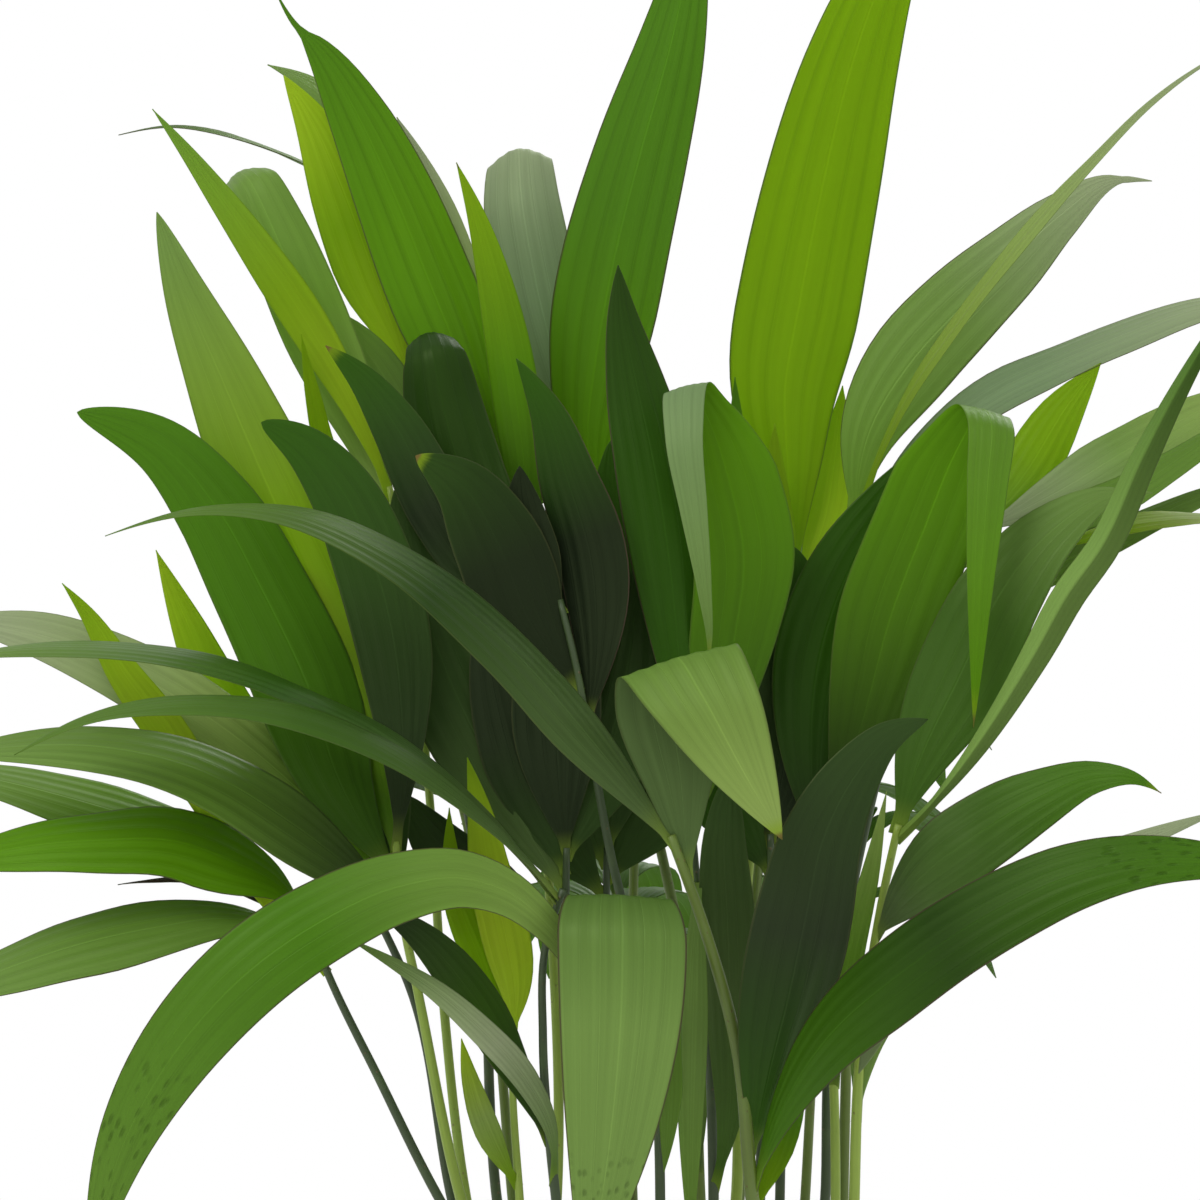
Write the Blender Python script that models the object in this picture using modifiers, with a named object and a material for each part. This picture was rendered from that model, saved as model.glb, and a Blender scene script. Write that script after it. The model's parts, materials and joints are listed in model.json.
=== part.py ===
"""Potted areca palm: a round nursery pot, its soil, twelve stem bases and the fronds that grow from them.

Lengths in the tables are centimetres; the scene is in metres, +Z up, and the pot stands on z = 0.
The plant is seen from -Y, with +X to the right.
"""
import math

import bpy
import bmesh
import numpy as np

CM = 0.01

# Pot
POT_HEIGHT = 13.5
POT_BASE_RADIUS = 5.6
POT_TOP_RADIUS = 7.5
POT_WALL = 0.2
RIM_RADIUS = 8.0
RIM_DROP = 1.7
FLOOR_TOP = 0.5
GROOVE_INNER = 2.6
GROOVE_OUTER = 4.7
GROOVE_RISE = 0.3
HOLE_RADIUS = 0.45
HOLE_RING_RADIUS = 3.65
HOLE_COUNT = 6
POT_STEPS = 48

# Soil
SOIL_TOP = 12.0
GAP = 0.03

# Stem bases: name, x, y, height above the soil, first frond's bearing in degrees
CANE_RADIUS = 0.62
CANE_SIDES = 12
CANE_SHAPE = [(0.0, 0.9), (0.06, 1.0), (0.3, 0.92), (0.62, 0.88), (0.9, 0.98), (1.0, 0.903)]  # height, radius
CANES = [
    ("cane_01", -2.1, -1.6, 4.2, 45),
    ("cane_02", -4.3, 0.5, 4.6, 95),
    ("cane_03", -3.7, -1.2, 3.8, 50),
    ("cane_04", -0.4, -2.8, 3.6, 90),
    ("cane_05", 3.9, -1.8, 4.0, 30),
    ("cane_06", 2.0, -0.6, 4.8, 10),
    ("cane_07", 5.7, -0.4, 4.4, 90),
    ("cane_08", 4.3, 1.5, 4.0, 80),
    ("cane_09", -3.5, 2.8, 4.5, 110),
    ("cane_10", 2.2, 2.4, 5.0, 20),
    ("cane_11", -1.0, 0.6, 4.9, 100),
    ("cane_12", -0.6, 3.9, 4.3, 30),
]
STALK_RADIUS = 0.19
STALK_MID_RADIUS = 0.165
STALK_TIP_RADIUS = 0.13
STALK_SPREAD = 0.30
STALK_RISE = 2.2
STALK_SIDES = 6
STALK_RINGS = 14

# Leaflet section
LEAF_THICKNESS = 0.09
LEAF_FOOT = 0.34
LEAF_TIP = 0.06
LEAF_STEP = 2.2
LEAF_RINGS = (6, 14)
FOOT_CURVE = 1.2
BEND_PACE = 2.0

# Fronds laid out one by one.
# name, cane, slot on the cane, colour, stalk route, leaflets
# A leaflet: point it starts near, points it passes, widest width, roll and twist in degrees,
# share of its length at the widest place, power of the taper towards the tip, fold
FRONDS = [
    ("frond_front_main", "cane_05", 2, "deep", [
        (3.06, -5.0, 24.0), (2.55, -7.2, 28.8), (1.65, -8.6, 32.1), (0.6, -9.3, 35.0)], [
        ((0.7, -9.2, 34.6), [(-1.4, -10.2, 37.4), (-4.4, -10.8, 40.8), (-7.5, -10.9, 43.2),
                             (-10.8, -10.6, 44.6), (-13.5, -10.2, 44.7), (-16.2, -9.8, 43.9)],
         2.6, 40, 35, 0.30, 1.0, 0.15),
        ((1.2, -9.0, 33.6), [(0.9, -9.3, 36.6), (0.6, -9.7, 39.4), (0.75, -10.5, 40.3),
                             (1.5, -11.4, 39.2), (2.7, -11.8, 37.0), (3.9, -11.9, 34.9)],
         3.6, 0, 0, 0.50, 0.9, 0.06, {"hinge": (0.957, 0.0, 0.287)}),
        ((3.0, -5.4, 25.3), [(3.25, -6.2, 26.6), (3.6, -7.2, 28.2), (4.05, -8.2, 30.0),
                             (4.7, -9.2, 33.0),
                             (5.1, -9.4, 34.8), (6.06, -9.2, 36.75), (7.05, -8.9, 37.9),
                             (8.25, -8.5, 38.45)],
         3.1, 25, -10, 0.45, 0.8, 0.12),
        ((3.06, -5.1, 24.3), [(4.0, -7.0, 27.0), (5.55, -9.2, 29.3), (7.2, -10.7, 30.75),
                              (8.9, -11.4, 32.0), (10.6, -11.8, 33.0), (12.4, -12.05, 33.8),
                              (14.7, -12.1, 34.3), (17.0, -12.0, 34.25), (19.6, -11.5, 33.6)],
         2.7, -45, -5, 0.42, 0.8, 0.12),
        ((3.06, -4.9, 23.8), [(3.8, -4.7, 25.6), (4.3, -4.5, 27.6), (4.5, -4.4, 29.5)],
         1.0, 0, 0, 0.4, 0.9, 0.1),
    ]),
    ("frond_front_left", "cane_01", 2, "fresh", [
        (-2.8, -5.4, 24.0), (-3.2, -7.4, 29.0), (-3.1, -8.6, 31.8), (-2.6, -9.1, 33.4)], [
        ((-2.6, -9.1, 33.4), [(-4.1, -9.5, 34.7), (-7.05, -10.0, 37.1), (-9.75, -10.4, 38.45),
                              (-11.6, -10.4, 38.85), (-14.4, -10.3, 38.9), (-17.2, -10.0, 38.3),
                              (-18.9, -9.8, 37.4)],
         1.5, 62, 0, 0.45, 0.9, 0.15),
        ((-2.8, -8.9, 33.0), [(-5.2, -8.2, 35.9), (-8.0, -8.0, 38.1), (-10.2, -7.9, 39.2),
                              (-13.2, -7.8, 40.2), (-16.5, -7.7, 40.6), (-19.4, -7.6, 40.5),
                              (-22.0, -7.6, 40.0)],
         2.15, 66, 0, 0.45, 0.9, 0.15),
        ((-2.8, -5.6, 24.6), [(-3.0, -7.2, 26.4), (-3.9, -8.2, 28.0), (-5.1, -8.9, 29.3),
                              (-6.5, -9.3, 30.5),
                              (-7.8, -9.4, 31.3), (-9.0, -9.4, 31.95)],
         0.85, 40, 0, 0.45, 0.9, 0.1),
        ((-2.9, -6.1, 25.8), [(-4.2, -7.2, 28.4), (-5.4, -7.8, 30.4), (-6.8, -8.1, 32.0),
                              (-8.2, -8.2, 32.9)],
         1.5, 25, 0, 0.5, 0.7, 0.1),
    ]),
    ("frond_front_broad", "cane_04", 1, "fresh", [
        (-1.2, -5.0, 24.0), (-0.9, -7.2, 28.4), (-0.9, -8.2, 31.0)], [
        ((-0.9, -8.1, 30.7), [(-0.9, -8.8, 32.3), (-0.9, -9.8, 33.25), (-0.85, -10.8, 32.5),
                              (-0.87, -11.3, 30.0), (-1.15, -11.5, 26.5), (-1.95, -11.1, 21.3)],
         3.85, 0, 0, 0.32, 0.9, 0.05, {"hinge": (1.0, 0.0, -0.06)}),
        ((-1.0, -6.9, 27.6), [(-0.2, -7.6, 29.4), (0.2, -8.4, 30.2), (0.5, -9.2, 28.4),
                              (0.4, -9.4, 25.0)],
         1.4, 0, 30, 0.45, 0.9, 0.1),
        ((-1.0, -7.4, 29.0), [(-1.9, -8.8, 30.6), (-3.0, -9.9, 32.3), (-4.2, -10.5, 33.3),
                              (-5.6, -10.9, 33.75),
                              (-7.5, -11.1, 33.5), (-9.75, -11.6, 32.5), (-11.8, -12.0, 31.1),
                              (-13.8, -12.0, 29.0), (-15.4, -11.8, 26.4), (-16.7, -11.2, 22.0)],
         2.6, 36, -13, 0.58, 0.8, 0.12),
    ]),
    ("frond_low_left", "cane_01", 1, "fresh", [
        (-4.0, -3.0, 20.4), (-6.25, -3.4, 24.0), (-8.1, -4.3, 27.7), (-9.68, -5.4, 31.0),
        (-10.35, -5.9, 32.8)], [
        ((-10.3, -5.8, 32.5), [(-11.2, -6.3, 33.6), (-12.4, -6.6, 34.2), (-14.1, -6.8, 34.8),
                               (-16.5, -6.9, 34.85),
                               (-19.5, -6.8, 34.5), (-21.6, -6.6, 33.9)],
         2.6, 42, 5, 0.34, 0.75, 0.12),
        ((-10.1, -5.6, 31.8), [(-12.3, -6.2, 32.5), (-15.0, -6.5, 32.2), (-17.0, -6.5, 31.75),
                               (-19.5, -6.3, 30.9), (-22.2, -6.1, 29.7)],
         2.4, 45, 0, 0.5, 0.7, 0.12),
        ((-10.2, -5.7, 32.2), [(-12.0, -4.9, 33.3), (-14.0, -4.7, 33.7), (-15.9, -4.6, 33.5)],
         0.6, 60, 0, 0.4, 1.0, 0.2),
        ((-10.4, -5.9, 32.7), [(-11.2, -5.4, 33.7), (-12.2, -5.0, 34.3), (-13.7, -4.7, 35.0),
                               (-15.9, -4.5, 35.7),
                               (-19.3, -4.4, 36.6), (-22.0, -4.3, 37.1)],
         2.4, 40, 0, 0.5, 0.6, 0.12),
        ((-9.64, -5.35, 30.9), [(-11.5, -5.5, 33.2), (-12.9, -5.7, 35.6), (-14.4, -5.7, 38.05),
                                (-15.7, -5.6, 39.8),
                               (-16.85, -5.5, 41.65), (-17.55, -5.4, 42.5)],
         1.25, 0, 0, 0.6, 0.9, 0.1),
    ]),
    ("frond_left_high", "cane_02", 2, "deep", [
        (-5.64, -2.2, 24.0), (-6.96, -4.2, 30.4), (-7.4, -5.0, 32.6), (-7.6, -5.2, 34.8)], [
        ((-7.4, -5.0, 32.7), [(-8.8, -6.8, 33.9), (-10.6, -7.5, 35.3), (-13.5, -7.7, 37.0),
                              (-16.5, -7.5, 37.65), (-19.5, -7.3, 37.6), (-21.3, -7.0, 37.4)],
         2.8, 47, 0, 0.36, 0.8, 0.12),
        ((-7.5, -5.1, 33.6), [(-9.2, -5.3, 36.4), (-10.3, -5.0, 39.6), (-11.65, -4.8, 42.4),
                              (-12.95, -4.9, 44.75), (-14.6, -5.2, 46.6), (-17.1, -5.6, 47.6)],
         3.3, 15, 5, 0.38, 0.62, 0.1),
        ((-7.5, -5.1, 34.0), [(-8.0, -4.7, 36.8), (-8.8, -4.3, 39.8), (-10.1, -4.0, 42.5),
                              (-11.6, -3.7, 45.8),
                              (-12.8, -3.5, 48.6), (-13.95, -3.4, 51.3), (-14.75, -3.4, 53.6)],
         3.3, -12, 0, 0.40, 0.78, 0.1),
        ((-7.6, -5.2, 34.6), [(-7.4, -6.0, 38.0), (-7.7, -6.1, 41.0), (-8.3, -6.1, 43.3),
                              (-9.15, -6.1, 45.2),
                              (-10.35, -6.1, 46.6), (-11.6, -6.1, 47.3)],
         2.5, 15, 0, 0.55, 0.6, 0.1),
        ((-7.45, -5.0, 33.1), [(-8.4, -4.2, 36.4), (-9.5, -4.0, 40.0), (-10.4, -3.8, 43.0)],
         2.8, 0, 0, 0.45, 0.7, 0.1),
        ((-7.3, -4.9, 32.2), [(-8.9, -4.9, 34.6), (-10.8, -5.0, 36.6), (-13.5, -4.8, 38.7),
                              (-16.0, -4.3, 40.1),
                              (-18.0, -4.2, 40.9), (-20.6, -4.2, 41.4)],
         2.2, 20, 0, 0.6, 0.6, 0.1),
    ]),
    ("frond_left_lime", "cane_02", 1, "lime", [
        (-5.94, -0.9, 24.0), (-7.2, -2.0, 30.4), (-8.5, -2.7, 33.2), (-9.3, -2.9, 34.8),
        (-10.2, -3.0, 36.4)], [
        ((-9.6, -2.9, 35.3), [(-11.6, -2.0, 37.2), (-12.9, -1.7, 39.2), (-14.0, -1.6, 41.6),
                              (-14.8, -1.7, 43.5)],
         1.6, 8, 0, 0.42, 0.95, 0.1),
        ((-8.9, -2.8, 34.0), [(-9.9, -3.4, 35.9), (-10.9, -3.7, 37.4), (-12.0, -3.8, 38.7)],
         1.4, 8, 0, 0.42, 0.9, 0.1),
    ]),
    ("frond_upper_left", "cane_02", 0, "lime", [
        (-5.5, 0.2, 24.0), (-6.2, -0.5, 30.0), (-6.6, -1.1, 36.0), (-7.1, -1.7, 41.0),
        (-7.8, -2.2, 45.4)], [
        ((-7.7, -2.2, 45.2), [(-9.15, -2.2, 48.4), (-10.65, -2.2, 50.9), (-12.1, -2.2, 53.0),
                              (-13.7, -2.2, 55.2), (-14.9, -2.2, 56.7)],
         1.3, 15, 0, 0.45, 0.95, 0.1),
        ((-7.5, -2.0, 43.9), [(-8.5, -1.2, 46.8), (-9.95, -0.7, 50.0), (-11.2, -0.5, 52.9),
                              (-12.1, 0.1, 54.7), (-12.45, 1.2, 54.8), (-12.4, 2.2, 53.6)],
         2.2, 0, 0, 0.5, 0.6, 0.12, {"hinge": (-0.84, 0.0, -0.54)}),
        ((-7.3, -1.9, 42.4), [(-8.5, -2.7, 44.2), (-9.6, -3.0, 46.2), (-10.1, -3.0, 48.2),
                              (-10.44, -3.0, 49.95)],
         0.65, 0, 0, 0.55, 0.9, 0.1),
    ]),
    ("frond_top_left", "cane_09", 1, "lime", [
        (-4.6, 1.6, 24.0), (-5.1, 1.4, 33.0), (-6.0, 1.1, 39.0), (-6.6, 0.9, 43.2), (-7.1, 0.9, 46.6),
        (-7.2, 1.0, 49.2)], [
        ((-7.2, 1.0, 49.0), [(-8.2, 0.9, 51.5), (-9.1, 0.8, 54.0), (-10.1, 0.8, 56.3),
                             (-11.0, 0.8, 57.75)],
         2.3, 5, 0, 0.40, 0.85, 0.08),
        ((-7.2, 1.0, 48.6), [(-7.5, 2.0, 52.4), (-8.6, 2.4, 55.6), (-9.9, 2.5, 57.3),
                             (-11.5, 2.5, 58.1)],
         2.0, 25, 20, 0.45, 0.9, 0.1),
        ((-6.9, 0.9, 45.0), [(-7.6, 0.5, 48.0), (-8.7, 0.3, 49.7), (-10.0, 0.2, 50.9)],
         1.6, 20, 0, 0.45, 0.9, 0.1),
        ((-7.2, 1.0, 48.2), [(-7.9, 3.4, 52.4), (-9.4, 3.7, 54.6), (-11.6, 3.7, 55.7),
                             (-14.4, 3.7, 56.3),
                             (-16.0, 3.7, 56.0)],
         1.1, 72, 0, 0.5, 0.8, 0.15),
    ]),
    ("frond_top_centre_left", "cane_03", 0, "bright", [
        (-2.8, -0.3, 24.0), (-3.0, -0.7, 33.0), (-3.5, -0.9, 39.0), (-3.9, -1.0, 43.2),
        (-4.3, -1.0, 46.0)], [
        ((-4.3, -1.0, 45.9), [(-5.55, -0.9, 48.9), (-6.65, -0.7, 51.6), (-7.65, -0.6, 54.1),
                              (-8.75, -0.6, 56.5), (-9.95, -0.6, 58.5), (-10.75, -0.5, 59.4),
                              (-11.25, -0.4, 60.3)],
         2.75, 5, 0, 0.40, 0.62, 0.1),
        ((-4.1, -1.0, 44.6), [(-4.9, 0.0, 48.2), (-5.6, 0.5, 51.4), (-6.5, 0.7, 54.2),
                              (-7.6, 0.8, 56.5)],
         1.7, 25, 0, 0.45, 0.9, 0.1),
        ((-3.8, -1.0, 42.6), [(-3.7, -1.9, 44.8), (-4.0, -2.2, 48.0), (-4.6, -2.2, 51.3),
                              (-5.2, -2.2, 53.5), (-5.8, -2.1, 55.1)],
         1.45, 5, 0, 0.42, 0.9, 0.1),
    ]),
    ("frond_top_centre", "cane_06", 1, "bright", [
        (1.5, 0.5, 24.0), (1.2, 0.6, 30.0), (0.0, 0.6, 36.0), (-0.9, 0.5, 40.5), (-1.35, 0.4, 44.2)], [
        ((-1.35, 0.4, 44.0), [(-1.86, 0.3, 46.9), (-1.62, 0.2, 49.3), (-1.14, 0.1, 52.0),
                              (-0.3, 0.0, 55.4), (0.6, 0.0, 58.6), (1.55, 0.2, 63.2)],
         3.25, -12, 0, 0.38, 0.75, 0.1),
        ((-1.3, 0.4, 43.2), [(-2.4, 1.4, 47.6), (-3.4, 2.1, 51.4), (-3.9, 2.6, 54.4),
                             (-3.95, 3.5, 55.6),
                             (-3.9, 4.6, 55.0), (-3.7, 5.5, 53.6)],
         2.5, 0, 0, 0.55, 0.55, 0.12, {"hinge": (-1.0, 0.0, -0.1)}),
        ((1.4, 0.5, 24.6), [(1.35, -0.5, 27.0), (1.3, -0.7, 30.0), (1.45, -0.6, 32.6)],
         0.9, 0, 0, 0.45, 0.8, 0.1),
    ]),
    ("frond_centre_folded", "cane_06", 2, "deep", [
        (1.9, -2.4, 24.0), (1.7, -3.6, 30.0), (1.3, -4.3, 34.5), (1.1, -4.6, 36.8)], [
        ((1.1, -4.6, 36.6), [(0.95, -4.8, 39.0), (0.75, -4.9, 41.5), (0.45, -4.9, 44.0),
                             (0.05, -4.8, 46.3),
                             (-0.45, -4.6, 48.6), (-0.8, -4.5, 50.4), (-0.96, -4.4, 52.0)],
         2.4, 12, 0, 0.55, 0.85, 0.15),
        ((1.3, -4.4, 35.0), [(1.95, -4.5, 37.8), (2.5, -4.7, 40.8), (2.8, -5.0, 43.2),
                             (2.35, -5.3, 45.6),
                             (1.65, -5.6, 47.6), (1.1, -6.3, 48.4), (1.0, -7.2, 47.0),
                             (1.3, -7.4, 44.6),
                             (1.6, -7.3, 42.4), (1.75, -7.0, 40.4), (1.68, -6.8, 39.9)],
         3.1, 0, 0, 0.35, 1.0, 0.08, {"hinge": (0.973, 0.0, 0.23), "narrow": (0.58, 0.55)}),
        ((1.4, -4.2, 33.6), [(1.4, -5.2, 33.2), (1.3, -5.8, 30.5), (1.2, -5.7, 26.5),
                             (1.2, -5.6, 22.5)],
         0.9, 0, 0, 0.45, 0.9, 0.1),
        ((1.9, -2.5, 24.3), [(2.35, -3.9, 26.5), (2.4, -4.4, 29.5), (2.3, -4.7, 32.4),
                             (2.2, -5.3, 35.0), (2.4, -5.7, 36.8)],
         1.7, 0, 0, 0.6, 0.5, 0.1),
    ]),
    ("frond_dark_centre", "cane_04", 2, "dark", [
        (0.3, -4.2, 24.0), (-0.1, -5.2, 30.0), (-1.2, -5.9, 34.5), (-1.8, -6.1, 37.8),
        (-2.25, -6.1, 40.2),
        (-2.7, -5.9, 42.0)], [
        ((-2.2, -6.1, 39.3), [(-3.6, -6.4, 41.4), (-4.5, -6.5, 43.6), (-5.6, -6.4, 45.4),
                              (-7.0, -6.2, 46.3)],
         2.9, 12, 0, 0.45, 0.7, 0.1),
        ((-2.7, -5.9, 41.8), [(-3.5, -5.7, 43.4), (-3.9, -5.6, 46.0)],
         1.6, 0, 0, 0.45, 0.8, 0.1),
        ((-1.9, -6.1, 38.2), [(-1.6, -5.9, 41.0), (-1.8, -5.7, 43.4), (-2.5, -5.6, 45.7),
                              (-3.1, -5.5, 47.6),
                              (-4.0, -5.4, 49.2)],
         2.2, -20, 0, 0.45, 0.85, 0.12),
        ((-2.4, -6.0, 40.8), [(-4.6, -4.9, 42.2), (-6.3, -4.5, 44.7), (-7.6, -4.3, 47.2),
                              (-8.6, -4.2, 48.6),
                              (-9.7, -4.2, 49.6)],
         1.9, 10, 0, 0.5, 0.8, 0.1),
        ((-2.6, -5.9, 41.6), [(-4.2, -4.2, 43.0), (-5.5, -3.6, 45.4), (-6.2, -3.4, 47.8),
                              (-6.55, -3.2, 49.6),
                              (-6.7, -2.5, 50.0), (-6.7, -1.9, 49.3)],
         2.6, 0, 0, 0.5, 0.5, 0.12, {"hinge": (-0.95, 0.0, -0.25)}),
    ]),
    ("frond_top_right", "cane_10", 2, "lime", [
        (2.6, 1.8, 24.0), (2.7, 2.0, 30.0), (3.2, 2.1, 36.0), (3.9, 2.0, 40.2), (4.5, 2.0, 43.0)], [
        ((4.45, 2.0, 42.8), [(4.15, 1.9, 45.9), (4.05, 1.7, 48.3), (4.5, 1.6, 51.0), (5.15, 1.6, 54.3),
                             (6.1, 1.6, 58.2), (6.7, 1.6, 60.0), (8.4, 1.8, 63.5)],
         3.75, 5, 0, 0.38, 0.6, 0.08),
        ((4.4, 2.0, 42.4), [(5.2, 2.7, 44.2), (5.6, 2.9, 46.5), (5.8, 3.0, 48.45)],
         1.2, 0, 0, 0.45, 0.9, 0.1),
        ((3.7, 2.0, 39.4), [(3.0, 1.2, 43.0), (2.65, 0.8, 46.4), (2.55, 0.7, 48.7)],
         1.0, 0, 0, 0.45, 0.9, 0.1),
        ((3.9, 2.0, 40.3), [(3.9, 1.0, 43.0), (3.75, 0.6, 45.4), (3.75, 0.5, 47.3)],
         1.1, 0, 0, 0.45, 0.9, 0.1),
    ]),
    ("frond_upper_right", "cane_07", 0, "grey", [
        (5.8, 0.9, 24.0), (5.9, 0.9, 28.5), (6.0, 0.9, 34.5), (6.0, 0.9, 40.5), (6.15, 0.9, 44.6)], [
        ((6.15, 0.9, 44.4), [(6.6, 1.1, 47.1), (7.95, 1.4, 49.3), (9.35, 1.6, 50.8), (10.8, 1.8, 52.15),
                             (12.3, 2.0, 53.55), (13.9, 2.2, 54.6), (15.1, 2.4, 54.6)],
         2.7, 5, -10, 0.42, 0.8, 0.1),
        ((6.1, 0.9, 43.9), [(6.9, 0.2, 46.4), (7.9, -0.2, 48.4), (9.0, -0.3, 50.0), (10.5, -0.4, 52.0),
                            (12.0, -0.4, 53.8), (13.2, -0.4, 55.1), (15.0, -0.4, 56.9),
                            (16.5, -0.4, 58.0),
                            (19.2, -0.4, 59.2)],
         0.6, -45, 0, 0.3, 1.1, 0.1),
        ((6.05, 0.9, 42.8), [(7.2, 0.3, 45.4), (8.85, -0.4, 47.2), (10.5, -0.7, 48.35),
                             (12.0, -0.9, 49.05),
                             (13.8, -1.0, 49.8), (16.5, -1.0, 50.75), (19.8, -1.0, 51.0)],
         1.9, -58, 0, 0.45, 0.85, 0.12),
    ]),
    ("frond_right_folded", "cane_07", 1, "bright", [
        (5.55, -2.0, 24.0), (5.46, -2.8, 28.5), (5.25, -3.6, 32.5), (5.2, -3.9, 35.0)], [
        ((5.2, -3.9, 34.6), [(5.9, -4.3, 36.8), (6.5, -4.5, 39.0), (7.2, -4.6, 41.6), (8.2, -4.7, 44.2),
                             (9.2, -5.0, 46.6), (9.9, -5.6, 47.7), (10.15, -6.5, 47.3),
                             (10.05, -7.0, 45.6),
                             (9.85, -7.1, 42.9), (9.7, -6.9, 39.8), (9.63, -6.8, 38.2)],
         3.2, 0, 0, 0.33, 0.9, 0.08, {"hinge": (0.97, 0.0, -0.243), "narrow": (0.58, 0.58)}),
        ((5.2, -3.8, 34.0), [(4.8, -3.4, 37.2), (5.1, -3.3, 40.5), (5.95, -3.3, 42.9),
                             (7.15, -3.3, 44.9),
                             (8.6, -3.3, 46.9)],
         2.7, 8, 0, 0.5, 0.85, 0.12),
        ((5.5, -2.6, 27.4), [(5.7, -4.4, 29.2), (6.0, -5.3, 31.4), (6.6, -5.6, 34.0),
                             (7.05, -5.6, 36.3)],
         0.8, 0, 0, 0.45, 0.9, 0.1),
    ]),
    ("frond_right_fan", "cane_07", 2, "grey", [
        (6.1, -3.2, 24.0), (6.3, -4.7, 28.8), (6.7, -5.6, 31.8), (7.15, -6.0, 34.2), (7.4, -6.2, 35.3)],
        [
        ((7.4, -6.2, 35.2), [(8.1, -6.0, 37.4), (9.15, -5.9, 39.6), (10.5, -5.8, 42.3),
                             (12.0, -5.6, 44.1),
                             (13.6, -5.4, 45.1), (15.0, -5.2, 45.2)],
         2.9, -12, 0, 0.42, 0.8, 0.1),
        ((7.3, -6.1, 34.8), [(8.35, -7.0, 35.9), (9.45, -7.5, 37.3), (10.35, -7.8, 38.65),
                             (11.4, -7.9, 40.4),
                             (12.4, -8.0, 42.2), (13.4, -8.0, 43.6), (14.6, -8.0, 46.2),
                             (15.7, -8.0, 48.3),
                             (18.0, -8.0, 52.0)],
         1.05, -15, 0, 0.45, 0.9, 0.5),
        ((6.7, -5.6, 31.9), [(7.9, -7.2, 33.6), (9.75, -8.2, 35.05), (11.5, -8.5, 36.1),
                             (13.2, -8.5, 36.75),
                             (14.4, -8.5, 36.7), (15.2, -8.4, 36.25)],
         2.5, -32, 0, 0.38, 1.15, 0.1),
        ((6.2, -4.6, 28.4), [(8.1, -7.6, 30.8), (10.0, -8.7, 32.4), (12.6, -9.2, 34.0),
                             (17.0, -9.3, 35.75)],
         1.3, -35, 0, 0.4, 0.9, 0.1),
        ((6.15, -3.9, 26.4), [(6.6, -5.0, 29.2), (7.3, -6.1, 30.5), (7.15, -7.1, 30.3),
                              (6.7, -7.4, 29.1),
                              (6.2, -7.4, 27.9)],
         1.3, 0, 0, 0.5, 0.8, 0.1),
    ]),
    ("frond_right_far", "cane_08", 2, "grey", [
        (5.25, -0.6, 24.0), (5.35, -1.0, 28.2), (6.3, -1.5, 34.5), (7.5, -1.9, 39.0), (9.0, -2.1, 42.6),
        (10.0, -2.1, 44.4)], [
        ((9.9, -2.1, 44.2), [(11.3, -1.7, 45.9), (12.4, -1.6, 47.7), (13.5, -1.6, 49.1)],
         1.7, 0, 0, 0.45, 0.9, 0.1),
        ((9.8, -2.1, 44.0), [(12.3, -2.6, 45.3), (14.1, -2.8, 46.4), (15.6, -2.8, 47.25),
                             (18.6, -2.7, 48.6)],
         2.0, -30, 0, 0.45, 0.9, 0.12),
        ((9.2, -2.1, 43.0), [(12.0, -3.6, 44.3), (14.5, -4.0, 45.4), (16.5, -4.0, 46.7),
                             (18.8, -3.9, 48.2)],
         1.5, -40, 0, 0.45, 0.9, 0.12),
        ((8.8, -2.0, 42.2), [(11.0, -2.6, 43.4), (13.35, -2.9, 44.15), (16.5, -2.9, 44.5),
                             (19.2, -2.8, 44.1)],
         1.2, -65, 0, 0.45, 0.9, 0.12),
        ((8.2, -2.0, 40.8), [(10.9, -1.6, 42.4), (13.9, -1.5, 43.9), (16.5, -1.5, 45.1),
                             (18.3, -1.5, 45.7)],
         1.2, -30, 0, 0.45, 0.9, 0.12),
    ]),
    ("frond_low_lime", "cane_03", 2, "lime", [
        (-3.9, -2.6, 24.0), (-4.1, -3.1, 27.0), (-4.14, -3.6, 29.2)], [
        ((-4.14, -3.6, 29.0), [(-4.05, -4.6, 30.3), (-4.35, -5.3, 32.1), (-4.8, -5.5, 33.9),
                               (-5.16, -5.4, 36.0),
                               (-5.46, -5.2, 37.3)],
         1.5, 0, 0, 0.4, 0.9, 0.1),
        ((-4.1, -3.3, 28.0), [(-5.0, -4.4, 31.0), (-5.8, -4.9, 33.2), (-6.0, -4.9, 35.8)],
         1.0, 0, 0, 0.45, 0.9, 0.1),
        ((-3.9, -2.7, 24.4), [(-4.8, -3.6, 26.0), (-5.3, -4.0, 27.4), (-5.64, -4.1, 28.9)],
         0.8, 0, 0, 0.45, 0.9, 0.1),
    ]),
    ("frond_dark_left", "cane_11", 1, "dark", [
        (-1.9, -2.4, 24.0), (-2.3, -3.4, 30.0), (-2.5, -3.8, 32.4), (-2.5, -4.1, 34.6)], [
        ((-2.5, -3.9, 33.2), [(-4.5, -4.2, 36.6), (-5.9, -4.1, 39.4), (-6.8, -3.9, 42.0),
                              (-7.5, -3.5, 45.6)],
         2.9, 0, 0, 0.45, 0.7, 0.1),
        ((-2.5, -4.0, 33.8), [(-3.6, -4.4, 37.4), (-4.4, -4.4, 40.3), (-4.8, -4.2, 42.3)],
         2.9, 0, 0, 0.45, 0.7, 0.1),
        ((-2.5, -4.1, 34.5), [(-2.8, -4.7, 38.0), (-2.7, -4.6, 41.4), (-2.6, -4.2, 44.0)],
         2.7, 0, 0, 0.45, 0.8, 0.1),
        ((-2.5, -4.05, 34.2), [(-1.3, -4.0, 37.4), (-0.6, -3.6, 40.4), (-0.4, -3.3, 43.0)],
         2.7, 0, 0, 0.45, 0.7, 0.1),
        ((-2.4, -3.8, 32.4), [(-4.3, -3.7, 33.2), (-5.9, -3.5, 34.3), (-7.4, -3.2, 36.2)],
         1.9, 15, 0, 0.5, 0.7, 0.1),
    ]),
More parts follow.
